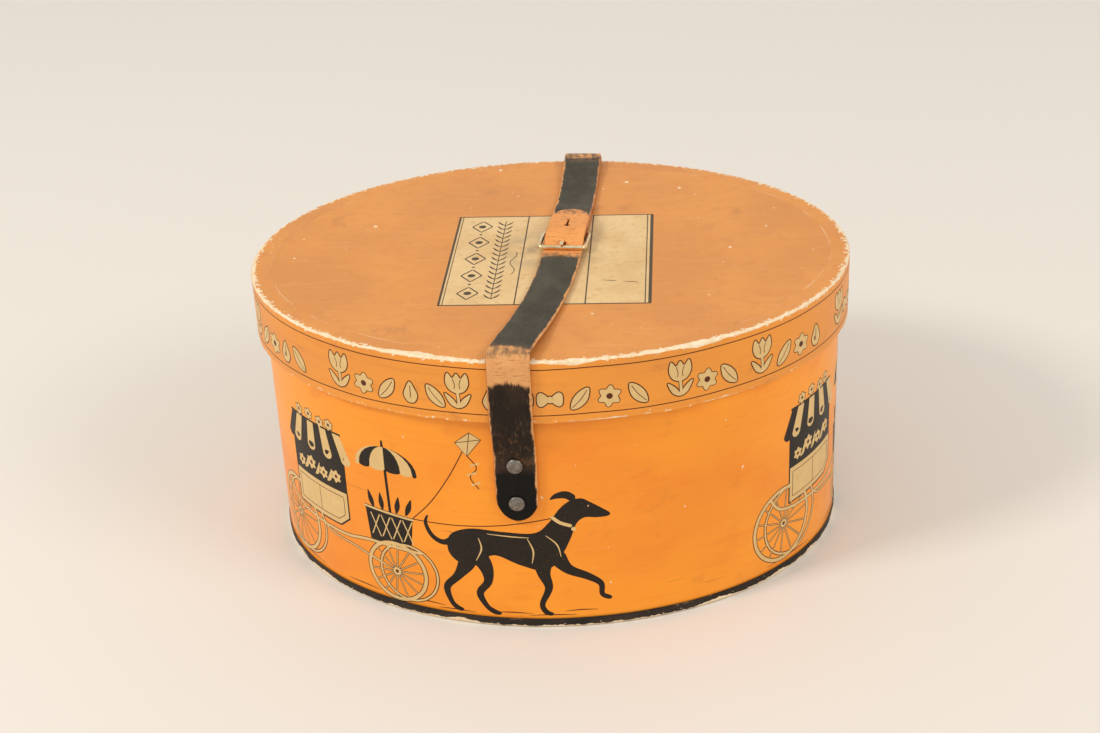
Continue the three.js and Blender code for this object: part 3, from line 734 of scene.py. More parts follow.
def fill(*loops):
    """A filled shape. Loops inside the first are holes."""
    dense = []
    for loop in loops:
        loop = np.asarray(loop, float)[:, :2]
        points = []
        for here, there in zip(loop, np.roll(loop, -1, axis=0)):
            steps = max(1, math.ceil(np.linalg.norm(there - here) / SPACING))
            points += [here + (there - here) * k / steps for k in range(steps)]
        dense.append(np.array(points))
    corners, edges = [], []
    for loop in dense:
        start, count = len(corners), len(loop)
        corners += loop.tolist()
        edges += [(start + i, start + (i + 1) % count) for i in range(count)]
    low, high = dense[0].min(0), dense[0].max(0)
    grid = np.stack(np.meshgrid(np.arange(low[0], high[0], SPACING), np.arange(low[1], high[1], 8)), -1)
    grid = grid.reshape(-1, 2) + 0.37
    corners += grid[inside(grid, dense)].tolist()
    points, _, cells, *_ = delaunay_2d_cdt([Vector(c) for c in corners], edges, [], 0, 1e-5)
    points = np.array([tuple(p) for p in points])
    middles = np.array([points[list(cell)].mean(0) for cell in cells])
    keep = inside(middles, dense)
    return points, [tuple(cell) for cell, kept in zip(cells, keep) if kept]


def stroke(points, width=None, closed=False, curved=True):
    """A pen line with round ends. Points carry their own widths if width is None."""
    line = np.asarray(points, float)
    if width is not None:
        line = np.column_stack([line[:, :2], np.full(len(line), width)])
    if curved:
        line = smooth(line, closed)
    if closed:
        line = np.vstack([line, line[:1]])
    lengths = np.concatenate([[0], np.cumsum(np.linalg.norm(np.diff(line[:, :2], axis=0), axis=1))])
    total = lengths[-1]
    stops = np.linspace(0, total, max(2, math.ceil(total / 1.6) + 1))
    if not closed:
        near_end = np.array([0.08, 0.25, 0.5])
        caps = near_end * min(line[0, 2], total / 2)
        tails = total - near_end * min(line[-1, 2], total / 2)
        stops = np.unique(np.concatenate([stops, caps, tails]))
    line = np.column_stack([np.interp(stops, lengths, line[:, k]) for k in range(3)])
    heading = np.gradient(line[:, :2], axis=0)
    if closed:
        heading[0] = heading[-1] = heading[0] + heading[-1]
    heading /= np.linalg.norm(heading, axis=1)[:, None]
    half = line[:, 2] / 2
    if not closed:
        nearest = np.clip(np.minimum(stops, total - stops) / np.maximum(half, 1e-6), 0, 1)
        half = half * np.maximum(np.sqrt(nearest * (2 - nearest)), 0.05)
    side = np.column_stack([-heading[:, 1], heading[:, 0]]) * half[:, None]
    count = len(line)
    flat = np.vstack([line[:, :2] + side, line[:, :2] - side])
    cells = [(i, count + i, count + i + 1, i + 1) for i in range(count - 1)]
    return flat, cells


def grown(loop, by):
    """A smooth loop moved outwards by a small distance."""
    loop = np.asarray(loop, float)
    heading = np.roll(loop, -1, axis=0) - np.roll(loop, 1, axis=0)
    out = np.column_stack([heading[:, 1], -heading[:, 0]])
    out /= np.linalg.norm(out, axis=1)[:, None]
    x, y = loop.T
    area = np.sum(x * np.roll(y, -1) - np.roll(x, -1) * y)
    return loop + out * by * np.sign(area)


def art(name, shapes, onto, proud, material, body, shifts=(0.0,)):
    """Closed thin solids from flat shapes, laid onto a surface and repeated by shifts."""
    sunk = -0.03
    vertices, faces, surface = [], [], []
    for shift in shifts:
        for points, cells in shapes:
            place, height = points[:, 0] + shift, points[:, 1]
            start, count = len(vertices), len(points)
            vertices += onto(place, height, proud).tolist()
            vertices += onto(place, height, sunk).tolist()
            flat = np.column_stack([place, height, np.zeros(count)])
            surface += flat.tolist() * 2
            sides = {(a, b) for cell in cells for a, b in zip(cell, cell[1:] + cell[:1])}
            faces += [tuple(start + i for i in cell) for cell in cells]
            faces += [tuple(start + count + i for i in reversed(cell)) for cell in cells]
            faces += [
                (start + b, start + a, start + count + a, start + count + b)
                for a, b in sides
                if (b, a) not in sides
            ]
    return piece(name, vertices, faces, material, body, surface=surface)


class Sketch:
    """Shapes sorted by ink: shade lies under cream, and line lies over it."""

    def __init__(self):
        self.shade, self.black, self.cream, self.line = [], [], [], []

    def outlined(self, loop, edge=0.65):
        self.shade.append(fill(grown(loop, edge)))
        self.cream.append(fill(loop))

    def rail(self, points, width, edge=0.4, closed=False, curved=True):
        self.shade.append(stroke(points, width + 2 * edge, closed, curved))
        self.cream.append(stroke(points, width, closed, curved))


# ------------------------------------------------------------- wall picture


def draw_wheel(sketch, middle, radius, spokes=14):
    """A spoked wheel, with the rim of the far one showing behind it."""
    sketch.rail(circle(middle + (7.5, 0.8), radius - 1.4, 60), 1.2, 0.55, closed=True)
    sketch.rail(circle(middle, radius - 1.1, 60), 2.1, 0.5, closed=True)
    for k in range(spokes):
        turn = 2 * math.pi * k / spokes + 0.12
        reach = np.array([math.cos(turn), math.sin(turn)])
        sketch.rail([middle + reach * 2.2, middle + reach * (radius - 2.2)], 0.45, 0.35, curved=False)
    for layer, hub, count in ((sketch.shade, 3.4, 24), (sketch.cream, 2.5, 24), (sketch.line, 1.1, 16)):
        layer.append(fill(circle(middle, hub, count)))


def draw_stall(sketch):
    """Flower barrow: cream chest, black back panel, striped awning, two spoked wheels."""
    sketch.black.append(fill([(-171, 66), (-122, 66), (-122, 90), (-171, 90)]))
    sketch.cream.append(fill([(-170, 44), (-130, 44), (-122.8, 50), (-122.8, 66), (-170, 66)]))
    side = [(-171, 43), (-129.6, 43), (-121.8, 49.5), (-121.8, 66.5), (-171, 66.5)]
    sketch.black.append(fill(side))
    frame_line = [(-167.5, 47), (-131, 47), (-125.5, 51.5), (-125.5, 63), (-167.5, 63)]
    sketch.line.append(stroke(frame_line + frame_line[:1], 0.45, curved=False))
    sketch.line.append(stroke([(-146.5, 47), (-146.5, 63)], 0.4, curved=False))
    for x, z, size in ((-163, 73, 3.9), (-152.5, 75.5, 4.6), (-141, 73.5, 4.0), (-130, 75, 4.2)):
        draw_rosette(sketch, x, z, size)
    for x in (-157.5, -146.5, -135.5):
        sketch.cream.append(stroke([(x - 2.6, 69.5, 0.4), (x, 72, 2.6), (x + 2.2, 78.5, 0.4)]))
    stripes, low, high = 8, (-176.0, -117.0), (-169.0, -124.0)
    for k in range(stripes):
        lower = np.interp([k, k + 1], [0, stripes], low)
        upper = np.interp([k, k + 1], [0, stripes], high)
        middle, half = lower.mean(), np.diff(lower)[0] / 2
        scallop = [
            (middle + half * math.cos(t), 88 - 3.4 * math.sin(t)) for t in np.linspace(0, math.pi, 9)
        ]
        panel = fill(scallop + [(upper[0], 103), (upper[1], 103)])
        (sketch.cream if k % 2 else sketch.black).append(panel)
    sketch.black.append(stroke([(-170, 103.3), (-123, 103.3)], 1.6, curved=False))
    for x in (-160, -150, -140, -132):
        draw_rosette(sketch, x, 107.2 + 0.8 * math.sin(x), 3.6)
    sketch.rail([(-186, 52), (-178, 43), (-160, 39.5), (-128, 38.5), (-106, 41.5), (-74, 41)], 1.7)
    sketch.rail([(-148, 43), (-140, 36), (-118, 33), (-96, 27)], 1.0)
    draw_wheel(sketch, np.array([-175.0, 32.5]), 24)
    draw_wheel(sketch, np.array([-91.0, 25.5]), 19.5)


def draw_parasol(sketch):
    """A black planter box on the barrow's front with a furled pole and open parasol."""
    sketch.black.append(fill([(-107, 43), (-84, 40), (-80, 44), (-78, 62), (-109, 64)]))
    for k in range(4):
        x = -105.5 + 7.0 * k
        sketch.cream.append(stroke([(x, 46.5), (x + 6, 60.5)], 0.7, curved=False))
        sketch.cream.append(stroke([(x + 6, 46.0), (x, 60.5)], 0.7, curved=False))
    sketch.rail([(-110, 64), (-77, 62)], 1.3, curved=False)
    for x, lean in ((-103, -3), (-97, -1), (-88, 2), (-82, 4)):
        sketch.black.append(stroke([(x, 64, 1.0), (x + 0.5 * lean, 69, 3.4), (x + lean, 75, 0.5)]))
    sketch.black.append(stroke([(-92, 63), (-93.5, 107)], 1.7, curved=False))
    middle, width, height = np.array([-93.0, 91.0]), 20.0, 14.0
    gores = 6
    edges = width * np.cos(np.linspace(0, math.pi, gores + 1))

    def seam(x):
        return [middle + (x * math.cos(t), height * math.sin(t)) for t in np.linspace(0, math.pi / 2, 7)]

    for k, (left, right) in enumerate(zip(edges, edges[1:])):
        centre, half = (left + right) / 2, (left - right) / 2
        scallop = [
            middle + (centre + half * math.cos(t), -1.6 * math.sin(t)) for t in np.linspace(math.pi, 0, 7)
        ]
        gore = seam(right)[::-1] + scallop + seam(left)
        (sketch.cream if k % 2 else sketch.black).append(fill(gore[1:-1] + [middle + (0, height)]))
    sketch.black.append(stroke([(-93.3, 104), (-93.6, 109)], 1.4, curved=False))


def draw_hound(sketch):
    """A trotting black hound with a cream collar."""
    body = [
        (-9, 61.5), (-1, 68), (5, 76.5), (11, 81.5), (17, 82.5), (21.5, 80), (28, 75.5), (32, 72.2),
        (31, 70.3), (25, 70), (18.5, 70.5), (14, 67), (11, 59), (7, 50), (2, 41.5), (-6, 37.5),
        (-18, 41), (-31, 46.5), (-40, 42), (-50, 39), (-57.5, 46), (-56, 57), (-44, 62.5), (-26, 61.8),
    ]
    sketch.black.append(fill(smooth(body)))
    limbs = [
        [
            (-49, 53, 14), (-47, 42, 11), (-53, 31, 5.2), (-60, 22.5, 4.2),
            (-58, 13, 3), (-54.5, 9.2, 3.2), (-51, 8.4, 1.8),
        ],
        [
            (-44, 50, 13), (-37, 39, 8.5), (-36, 29, 4.8), (-41, 21, 4.2),
            (-37.5, 12.5, 3), (-33, 9, 3.2), (-29.5, 8.3, 1.8),
        ],
        [(-5, 48, 14), (-5, 36, 7.5), (-2.5, 26, 4.4), (-6.5, 15.5, 3.1), (-4.5, 10, 3.2), (-0.5, 8.5, 2)],
        [
            (1, 49, 12), (8, 38.5, 6.4), (18.5, 33, 4.6), (26, 27.5, 3.4),
            (26.5, 20.5, 2.8), (30, 18, 2.8), (32, 17.6, 1.6),
        ],
        [(-53, 55, 5), (-60, 51.5, 3.4), (-66.5, 54.5, 2.8), (-70, 62, 2.2), (-68.5, 67.5, 1.0)],
        [(13.5, 82, 4.2), (9.0, 85.2, 4.6), (3.6, 84.6, 3.2), (0.4, 82.6, 0.8)],
    ]
    sketch.black += [stroke(limb) for limb in limbs]
    sketch.rail([(0.5, 72), (5, 68), (11.5, 65.5)], 2.0, 0.3)
    sketch.cream.append(fill(circle((12.3, 63.6), 1.3, 16)))
    for line in (
        [(-13, 58, 0.3), (-10, 50, 0.9), (-11, 42, 0.3)],
        [(-40, 57, 0.3), (-38.5, 50, 0.9), (-42, 42, 0.3)],
        [(-3, 60, 0.3), (3, 54, 0.8), (5, 46, 0.3)],
        [(-35, 60, 0.3), (-22, 59, 0.7), (-12, 58.5, 0.3)],
    ):
        sketch.cream.append(stroke(line))
    sketch.cream.append(fill(circle((20.6, 77.6), 0.45, 12)))


def draw_kite(sketch):
    """A lozenge kite on a long string, and the hound's slack leash."""
    sketch.outlined([(-41, 122), (-35, 118.5), (-43, 108), (-49, 115.5)], 0.5)
    sketch.line.append(stroke([(-41, 122), (-43, 108)], 0.4, curved=False))
    sketch.line.append(stroke([(-35, 118.5), (-49, 115.5)], 0.4, curved=False))
    sketch.shade.append(stroke([(-78, 63), (-66, 76), (-54, 94), (-44.5, 112)], 0.6))
    sketch.shade.append(stroke([(-78, 63), (-52, 63.5), (-25, 66), (2, 71)], 0.6))
    sketch.shade.append(stroke([(-43, 108), (-38, 101), (-42, 95), (-37.5, 88)], 0.6))
    for x, z in ((-39, 103), (-41, 97), (-39, 91)):
        sketch.cream.append(stroke([(x - 2.6, z - 1, 1.8), (x, z, 0.6), (x + 2.6, z + 1, 1.8)]))


def draw_ground(sketch):
    """Short strokes of shadow under the wheels and the paws."""
    near_wheels = [(-188, -150, 8.6), (-128, -104, 9.0), (-82, -62, 9.6)]
    near_paws = [(-66, -44, 7.6), (-34, -12, 9.0), (-14, 12, 7.8), (6, 24, 10.5)]
    for x0, x1, z in near_wheels + near_paws:
        sketch.shade.append(stroke([(x0, z, 0.2), ((x0 + x1) / 2, z + 0.5, 0.7), (x1, z, 0.2)]))


def draw_rosette(sketch, x, z, size, petals=6):
    """A petalled flower about 2 x size across."""
    turns = np.linspace(0, 2 * math.pi, 48, endpoint=False)
    radius = size * (0.84 + 0.16 * np.cos(petals * turns))  # petals swell and pinch
    loop = np.column_stack([x + radius * np.cos(turns + 0.4), z + radius * np.sin(turns + 0.4)])
    sketch.outlined(loop, 0.45)
    sketch.line.append(fill(circle((x, z), 0.27 * size, 16)))


# ------------------------------------------------------------- skirt frieze

FRIEZE_LOW = SKIRT_BOTTOM + 7.2
PETAL_TULIP = [
    (0, 20.5), (2.3, 17.8), (5.0, 20.6), (6.2, 15.4), (4.2, 10.8), (0, 9.0), (-4.2, 10.8), (-6.2, 15.4),
    (-5.0, 20.6), (-2.3, 17.8),
]


def shifted(points, x, z):
    return [(x + px, z + pz) for px, pz in points]


def draw_tulip(sketch, x, z):
    sketch.rail(shifted([(0, 9.5), (0.4, 4.5), (0, 0.4)], x, z), 1.5)
    for side in (-1, 1):
        leaf = smooth([(0, 0.4), (4.2 * side, 2.4), (7.0 * side, 8.6), (2.4 * side, 5.2)])
        sketch.outlined(shifted(leaf, x, z))
    sketch.outlined(shifted(smooth(PETAL_TULIP), x, z))
    for side in (-1, 1):
        fold = [(2.3 * side, 17.5), (1.2 * side, 14), (1.6 * side, 11.5)]
        sketch.line.append(stroke(shifted(fold, x, z), 0.4))


def draw_leaf(sketch, x, z, side=1):
    """A slanting leaf, mirrored where side is -1."""
    leaf = smooth([(-4.6, 0.6), (-0.2, 1.2), (4.0, 5.6), (4.8, 12.2), (0.4, 10.8), (-3.6, 6.2)])
    sketch.outlined([(x + side * px, z + pz) for px, pz in leaf])
    vein = [(-4.0, 1.2), (0.4, 5.8), (3.8, 11)]
    sketch.line.append(stroke([(x + side * px, z + pz) for px, pz in vein], 0.4))


def draw_bud(sketch, x, z):
    right = [(2.6, 8.6), (3.9, 4.6), (2.2, 1.0)]
    left = [(-px, pz) for px, pz in reversed(right)]
    bud = smooth([(0, 12.8), *right, (0, 0.3), *left])
    sketch.outlined(shifted(bud, x, z))
    sketch.line.append(stroke(shifted([(0, 10.4), (0, 3.2)], x, z), 0.45, curved=False))


def draw_bow(sketch, x, z):
    wing = [(0.4, 6.4), (4.0, 10.4), (6.4, 9.2), (6.4, 3.8), (4.0, 2.6)]
    for side in (-1, 1):
        sketch.outlined(shifted(smooth([(side * px, pz) for px, pz in wing]), x, z))
    sketch.outlined(shifted(circle((0, 6.4), 1.9, 20), x, z))


def draw_flower(sketch, x, z):
    draw_rosette(sketch, x, z + 6.4, 6.3)


FRIEZE_ITEMS = {
    "t": draw_tulip,
    "b": draw_bud,
    "f": draw_flower,
    "o": draw_bow,
    "l": draw_leaf,
    "r": lambda sketch, x, z: draw_leaf(sketch, x, z, -1),
}

# Groups round the skirt: place of the first item, spacing and items.
FRIEZE_GROUPS = [
    (-203, 13.2, "tlfbr"), (-116, 14.2, "tflbr"), (-45, 15.4, "tboolfr"), (72, 13.4, "tfr"),
    (122, 14.0, "tlfb"), (196, 14.0, "tofb"), (262, 14.0, "trlfb"), (342, 14.4, "tbofl"),
    (430, 13.8, "tlfbr"), (517, 13.8, "tfob"), (590, 14.0, "tlfb"), (664, 14.0, "trfo"),
]


def build_frieze(finishes):
    """Cream flowers and leaves with brown outlines round the lid's skirt, in groups that
    each start with a tall tulip, between two pinstripes."""
    sketch = Sketch()
    for start, spacing, items in FRIEZE_GROUPS:
        for k, item in enumerate(items):
            FRIEZE_ITEMS[item](sketch, start + spacing * k + (2.0 if k else 0.0), FRIEZE_LOW)
    lay_down(sketch, "frieze", outer_oval.onto, finishes, "lid")
    for name, z in (("upper_pinstripe", LID_TOP - 5.0), ("lower_pinstripe", SKIRT_BOTTOM + 4.0)):
        wander = ragged(3, (40, 0.5, 0.0))
        low, high = z + wander, z + wander + 0.55
        profile = [(-0.04, low), (-0.04, high), (0.05, high), (0.05, low)]
        ring(name, profile, finishes["brown_ink"], "lid")


def lay_down(sketch, name, onto, finishes, body, shifts=(0.0,)):
    """Each ink of a sketch as one thin piece on the surface, in printing order."""
    layers = [
        ("shade", sketch.shade, 0.04, "brown_ink"),
        ("black", sketch.black, 0.06, "black_ink"),
        ("cream", sketch.cream, 0.08, "cream_ink"),
        ("line", sketch.line, 0.10, "brown_ink"),
    ]
    for layer, shapes, proud, ink_name in layers:
        if shapes:
            art(f"{name}_{layer}", shapes, onto, proud, finishes[ink_name], body, shifts)


def build_wall_picture(finishes):
    """The barrow, parasol, kite and hound, three times round the wall."""
    sketch = Sketch()
    for draw in (draw_ground, draw_stall, draw_parasol, draw_kite, draw_hound):
        draw(sketch)
    period = wall_oval.length / 3
    lay_down(sketch, "wall_print", wall_oval.onto, finishes, "base", (0.0, period, -period))


# ------------------------------------------------------------- printed panel on the lid

PANEL_MIDDLE = (1.0, -12.0)
PANEL_TURN = math.radians(-1.9)
PANEL_HALF = (58.0, 61.0)


def onto_top(x, y, proud):
    return np.column_stack([x, y, np.full(len(x), LID_TOP + proud)])


def onto_panel(u, v, proud):
    x = PANEL_MIDDLE[0] + u * math.cos(PANEL_TURN) - v * math.sin(PANEL_TURN)
    y = PANEL_MIDDLE[1] + u * math.sin(PANEL_TURN) + v * math.cos(PANEL_TURN)
    return onto_top(x, y, proud)


def scatter_chips(finishes):
    """Small bare spots where the printed face has flaked off the lid's top and the wall."""
    source = np.random.default_rng(61)

    def flake(middle, size):
        turns = np.sort(source.uniform(0, 2 * math.pi, 9))
        radius = size * source.uniform(0.45, 1.0, 9)
        return fill(middle + radius[:, None] * np.column_stack([np.cos(turns), np.sin(turns)]))

    top, wall = [], []
    for _ in range(46):
        turn, inset = source.uniform(0, 2 * math.pi), 7 + 70 * source.random() ** 2.2
        place = np.array([(HALF_LENGTH - inset) * math.sin(turn), (HALF_WIDTH - inset) * math.cos(turn)])
        top.append(flake(place, 0.5 + 1.5 * source.random() ** 3))
    for _ in range(60):
        place = np.array([source.uniform(-470, 470), source.uniform(12, 126)])
        wall.append(flake(place, 0.35 + 0.8 * source.random() ** 3))
    art("top_flakes", top, onto_top, 0.03, finishes["core"], "lid")
    art("wall_flakes", wall, wall_oval.onto, 0.03, finishes["core"], "base")


def build_panel(finishes):
    """Cream panel with ruled borders and a column of printed ornaments."""
    wide, deep = PANEL_HALF
    sheet = fill([(-wide, -deep), (wide, -deep), (wide, deep), (-wide, deep)])
    art("panel", [sheet], onto_panel, 0.05, finishes["panel"], "lid")
    rules = [stroke([(-wide, v), (wide, v)], 1.0, curved=False) for v in (-deep, deep)]
    borders = [(-wide + 0.5, 1.3), (-wide + 2.4, 0.5), (wide - 0.6, 1.8), (wide - 3.2, 0.6)]
    for u, width in borders + [(-16.2, 0.75), (22.4, 0.75)]:
        rules.append(stroke([(u, -deep), (u, deep)], width, curved=False))
    column, stem = -43, -29.5
    for k in range(5):
        v = -46 + 23 * k
        lozenge = [(column, v - 8), (column + 6, v), (column, v + 8), (column - 6, v)]
        rules.append(stroke(lozenge, 0.9, closed=True, curved=False))
        rules.append(fill(circle((column, v), 2.2, 20)))
        if k < 4:
            rules.append(fill(circle((column, v + 11.5), 0.9, 12)))
    for k in range(17):
        v = -51 + 6.3 * k
        for side in (-1, 1):
            blade = [(stem, v - 2.4, 0.5), (stem + 2.6 * side, v, 1.3), (stem + 4.4 * side, v + 3.2, 0.4)]
            rules.append(stroke(blade))
    rules.append(stroke([(stem, -54), (stem, 54)], 0.5, curved=False))
    flourish = [(-21.0 + 1.6 * math.sin(0.75 * k), -22 + 2.6 * k) for k in range(13)]
    rules.append(stroke(flourish, 0.5))
    rules.append(stroke([(30, -31, 0.2), (36, -31.6, 0.8), (39, -32.6, 0.2)]))
    rules.append(stroke([(42, -33, 0.2), (47, -33.5, 0.7), (51, -34.4, 0.2)]))
    art("panel_rules", rules, onto_panel, 0.07, finishes["panel_ink"], "lid")


# ------------------------------------------------------------- straps
# The driving dimensions below are the CAD part's own.

STRAP_HALF = 11.5
LEATHER = 2.4
SKIVED = 1.5
FOOT_BOTTOM_Z = 71
FOOT_TOP_Z = 112.7
FRONT_STRAP_X = -17.3
REAR_STRAP_X = 18.6
LEG_ON_WALL = 3.5
LEG_ON_SKIRT = -1.6
LID_STAND_OFF = 3.0
HEEL_BAR = Vector((10.0, 14.0, 170.9))
HEEL_BAR_WIDTH = 2.2
TIP_BAR_WIDTH = 2.6
FRAME_REACH = 22.4
FRAME_WIDTH = 29.0
FRAME_SIDE = 2.3
FRAME_THICKNESS = 2.2
FRAME_TILT = math.asin(1.5 / FRAME_REACH)
BUCKLE_HEADING = math.radians(6.3)
FOLD_TAIL = 34
RIVET_HEIGHTS = {"lower": 82.0, "upper": 105.0}

SKIVING = (34, 18)  # y between which the rear strap thins towards its fold
RIVETS_DARK_TO = 101  # height up to which the feet kept their black dye

over_lid = LID_TOP + LEATHER / 2
bend_radius = LID_STAND_OFF + LEATHER / 2 + 0.4


def anchor_matrix(x, side):
    """The frame at the lid's edge where a strap crosses it, +Y straight in."""
    y = side * HALF_WIDTH * math.sqrt(1 - (x / HALF_LENGTH) ** 2)
    turn = math.atan2(x / HALF_LENGTH**2, -y / HALF_WIDTH**2)
    return Matrix.Translation((x, y, 0)) @ Matrix.Rotation(turn, 4, "Z"), turn


front_anchor, front_turn = anchor_matrix(FRONT_STRAP_X, -1)
rear_anchor, rear_turn = anchor_matrix(REAR_STRAP_X, 1)

# Stations over the lid: x, y, height above leather lying flat, heading in degrees.
FRONT_RUN = [
    (-15.6, -131.0, 3.0, 11), (-13.5, -123.0, 2.9, 14), (-11.4, -115.0, 2.3, 14.5),
    (-6.5, -95.0, 0.8, 13.5), (-2.4, -77.5, 0.5, 12), (2.9, -50.0, 0.5, 10),
    (6.2, -25.0, 0.5, 8), (7.9, -8.4, 0.6, 6.8), (8.3, -5.0, 1.2, 6.6),
    (8.6, -1.5, 3.1, 6.5), (9.1, 3.0, 5.3, 6.4), (9.7, 8.0, 6.5, 6.3),
    (10.4, 14.0, 6.8, 6.2), (11.6, 26.0, 6.3, 6), (12.3, 33.0, 6.0, 5.9), (12.9, 39.8, 5.7, 5.8),
]
REAR_RUN = [
    (18.2, 131.0, 3.0, 4.5), (17.9, 123.0, 2.9, 4), (17.6, 115.0, 2.3, 4),
    (16.6, 95.0, 0.8, 4), (15.5, 77.0, 0.5, 4.5), (14.5, 62.0, 0.7, 5),
    (13.5, 50.0, 2.1, 5.5), (12.3, 36.0, 2.2, 6), (11.1, 24.0, 2.6, 6.3),
]


def leg_stations(anchor, turn):
    bend_z = over_lid + LID_STAND_OFF - bend_radius
    bend_in = LEG_ON_SKIRT + bend_radius
    slant = bend_radius * math.sqrt(0.5)
    heights = [
        (LEG_ON_WALL, FOOT_BOTTOM_Z), (LEG_ON_WALL, (FOOT_BOTTOM_Z + FOOT_TOP_Z) / 2),
        (LEG_ON_WALL, FOOT_TOP_Z + 1.3),
        (LEG_ON_WALL - 1.8, 121.5), (LEG_ON_SKIRT, 130), (LEG_ON_SKIRT, 146),
        (LEG_ON_SKIRT, bend_z - 4), (LEG_ON_SKIRT, bend_z),
        (bend_in - slant, bend_z + slant), (bend_in, bend_z + bend_radius),
    ]
    return [(anchor @ Vector((0, inward, z)), turn) for inward, z in heights]


def fold_stations():
    """The rear strap's end: forward round the buckle's heel bar and back underneath."""
    radius = HEEL_BAR_WIDTH / 2 + GAP + SKIVED / 2
    backward = Vector((math.sin(BUCKLE_HEADING), math.cos(BUCKLE_HEADING), 0))
    route = [(5, radius - 0.2)]
    route += [(-radius * math.sin(t), radius * math.cos(t)) for t in np.linspace(0, math.pi, 7)]
    route += [(10, -radius), (FOLD_TAIL, -radius)]
    return [
        (HEEL_BAR + backward * along + Vector((0, 0, up)), math.degrees(BUCKLE_HEADING))
        for along, up in route
    ]


class Route:
    """A smooth strap centreline through stations (point, heading in degrees)."""

    PER_STATION = 60

    def __init__(self, stations):
        self.points = [Vector(point) for point, _ in stations]
        self.headings = [heading for _, heading in stations]
        self.last = len(stations) - 1
        count = self.last * self.PER_STATION
        self.samples = [self.point(k / self.PER_STATION) for k in range(count + 1)]
        steps = [(b - a).length for a, b in zip(self.samples, self.samples[1:])]
        self.lengths = np.concatenate([[0], np.cumsum(steps)])
        self.total = self.lengths[-1]

    def point(self, place):
        index = min(int(place), self.last - 1)
        t = place - index
        p1, p2 = self.points[index], self.points[index + 1]
        p0 = self.points[index - 1] if index > 0 else p1 * 2 - p2
        p3 = self.points[index + 2] if index + 2 <= self.last else p2 * 2 - p1
        d0, d1, d2 = (max((b - a).length ** 0.5, 1e-4) for a, b in ((p0, p1), (p1, p2), (p2, p3)))
        m1 = ((p1 - p0) / d0 - (p2 - p0) / (d0 + d1) + (p2 - p1) / d1) * d1
        m2 = ((p2 - p1) / d1 - (p3 - p1) / (d1 + d2) + (p3 - p2) / d2) * d1
        t2, t3 = t * t, t * t * t
        return p1 * (2 * t3 - 3 * t2 + 1) + m1 * (t3 - 2 * t2 + t) + p2 * (3 * t2 - 2 * t3) + m2 * (t3 - t2)

    def sample(self, length):
        """Centre, direction across and outward normal at a length along the strap."""
        place = np.interp(length, self.lengths, np.arange(len(self.lengths))) / self.PER_STATION
        place = min(max(place, 1e-4), self.last - 1e-4)
        ahead, behind = min(place + 1e-3, self.last), max(place - 1e-3, 0)
        tangent = (self.point(ahead) - self.point(behind)).normalized()
        heading = math.radians(np.interp(place, range(self.last + 1), self.headings))
        across = Vector((math.cos(heading), -math.sin(heading), 0))
        across = (across - tangent * across.dot(tangent)).normalized()
        return self.point(place), across, across.cross(tangent)

    def find(self, test, after=0.0):
        """The first length past `after` at which the centreline passes the test."""
        for sample, length in zip(self.samples, self.lengths):
            if length >= after and test(sample):
                return float(length)
        return float(self.total)


def over_lid_stations(run):
    return [(Vector((x, y, over_lid + rise)), heading) for x, y, rise, heading in run]


def half_turned(stations):
    return [(point, heading + 180) for point, heading in stations]


front_route = Route(leg_stations(front_anchor, math.degrees(-front_turn)) + over_lid_stations(FRONT_RUN))
rear_route = Route(
    half_turned(
        leg_stations(rear_anchor, math.degrees(math.pi - rear_turn))
        + over_lid_stations(REAR_RUN)
        + fold_stations()
    )
)


def round_end(distance, rounding, power):
    """Half-width of a rounded strap end, `distance` from its very end."""
    along = min(max(distance / rounding, 0.0), 1.0)
    return max(STRAP_HALF * (1 - (1 - along) ** power) ** (1 / 2.2), 1.2)


def strap_section(half, thick):
    """Corners (across, out, side) of the leather's cross-section, with rounded edges."""
    edge = min(0.75, 0.45 * thick)
    flat = half - edge
    top = [(u, thick / 2, 1.0) for u in np.linspace(-flat, flat, 15)]
    right = [
        (flat + edge * math.sin(t), (thick / 2 - edge) + edge * math.cos(t), 1 - 1.2 * t / math.pi)
        for t in (math.pi / 6, math.pi / 3, math.pi / 2)
    ]
    upper = top + right
    return upper + [(-u, -w, -s) for u, w, s in upper]


def leather(name, route, start, end, thick_at, half_at, material):
    """One stretch of leather along a route, slightly uneven as worn leather is."""
    rows = math.ceil((end - start) / 0.9)
    stops = np.linspace(start, end, rows + 1)
    vertices, surface = [], []
    for length in stops:
        centre, across, out = route.sample(length)
        half = half_at(length)
        wobble = 0.22 * noise.noise(Vector((length / 9, 3.1, 0)))
        for u, w, side in strap_section(half, thick_at(length)):
            uneven = 0.10 * noise.noise(Vector((u / 5, length / 6, side)))
            crown = -0.12 * (u / STRAP_HALF) ** 4
            shift = w + (uneven + crown if w > 0 else 0.0)
            reach = u * (1 + wobble / STRAP_HALF)
            vertices.append(centre + across * reach + out * shift)
            surface.append((u, length, side))
    faces = tube_faces(rows + 1, len(strap_section(STRAP_HALF, LEATHER)))
    return piece(name, vertices, faces, material, None, surface=surface)


def prism(outline, matrix, low, high):
    """A closed cutter: a flat outline raised between two heights, placed by a matrix."""
    count = len(outline)
    points = [matrix @ Vector((x, y, z)) * MM for z in (low, high) for x, y in outline]
    sides = tube_faces(2, count, capped=False)
    ends = [range(count)[::-1], range(count, 2 * count)]
    mesh = bpy.data.meshes.new("cutter")
    mesh.from_pydata(points, [], [list(face) for face in sides + ends])
    return mesh


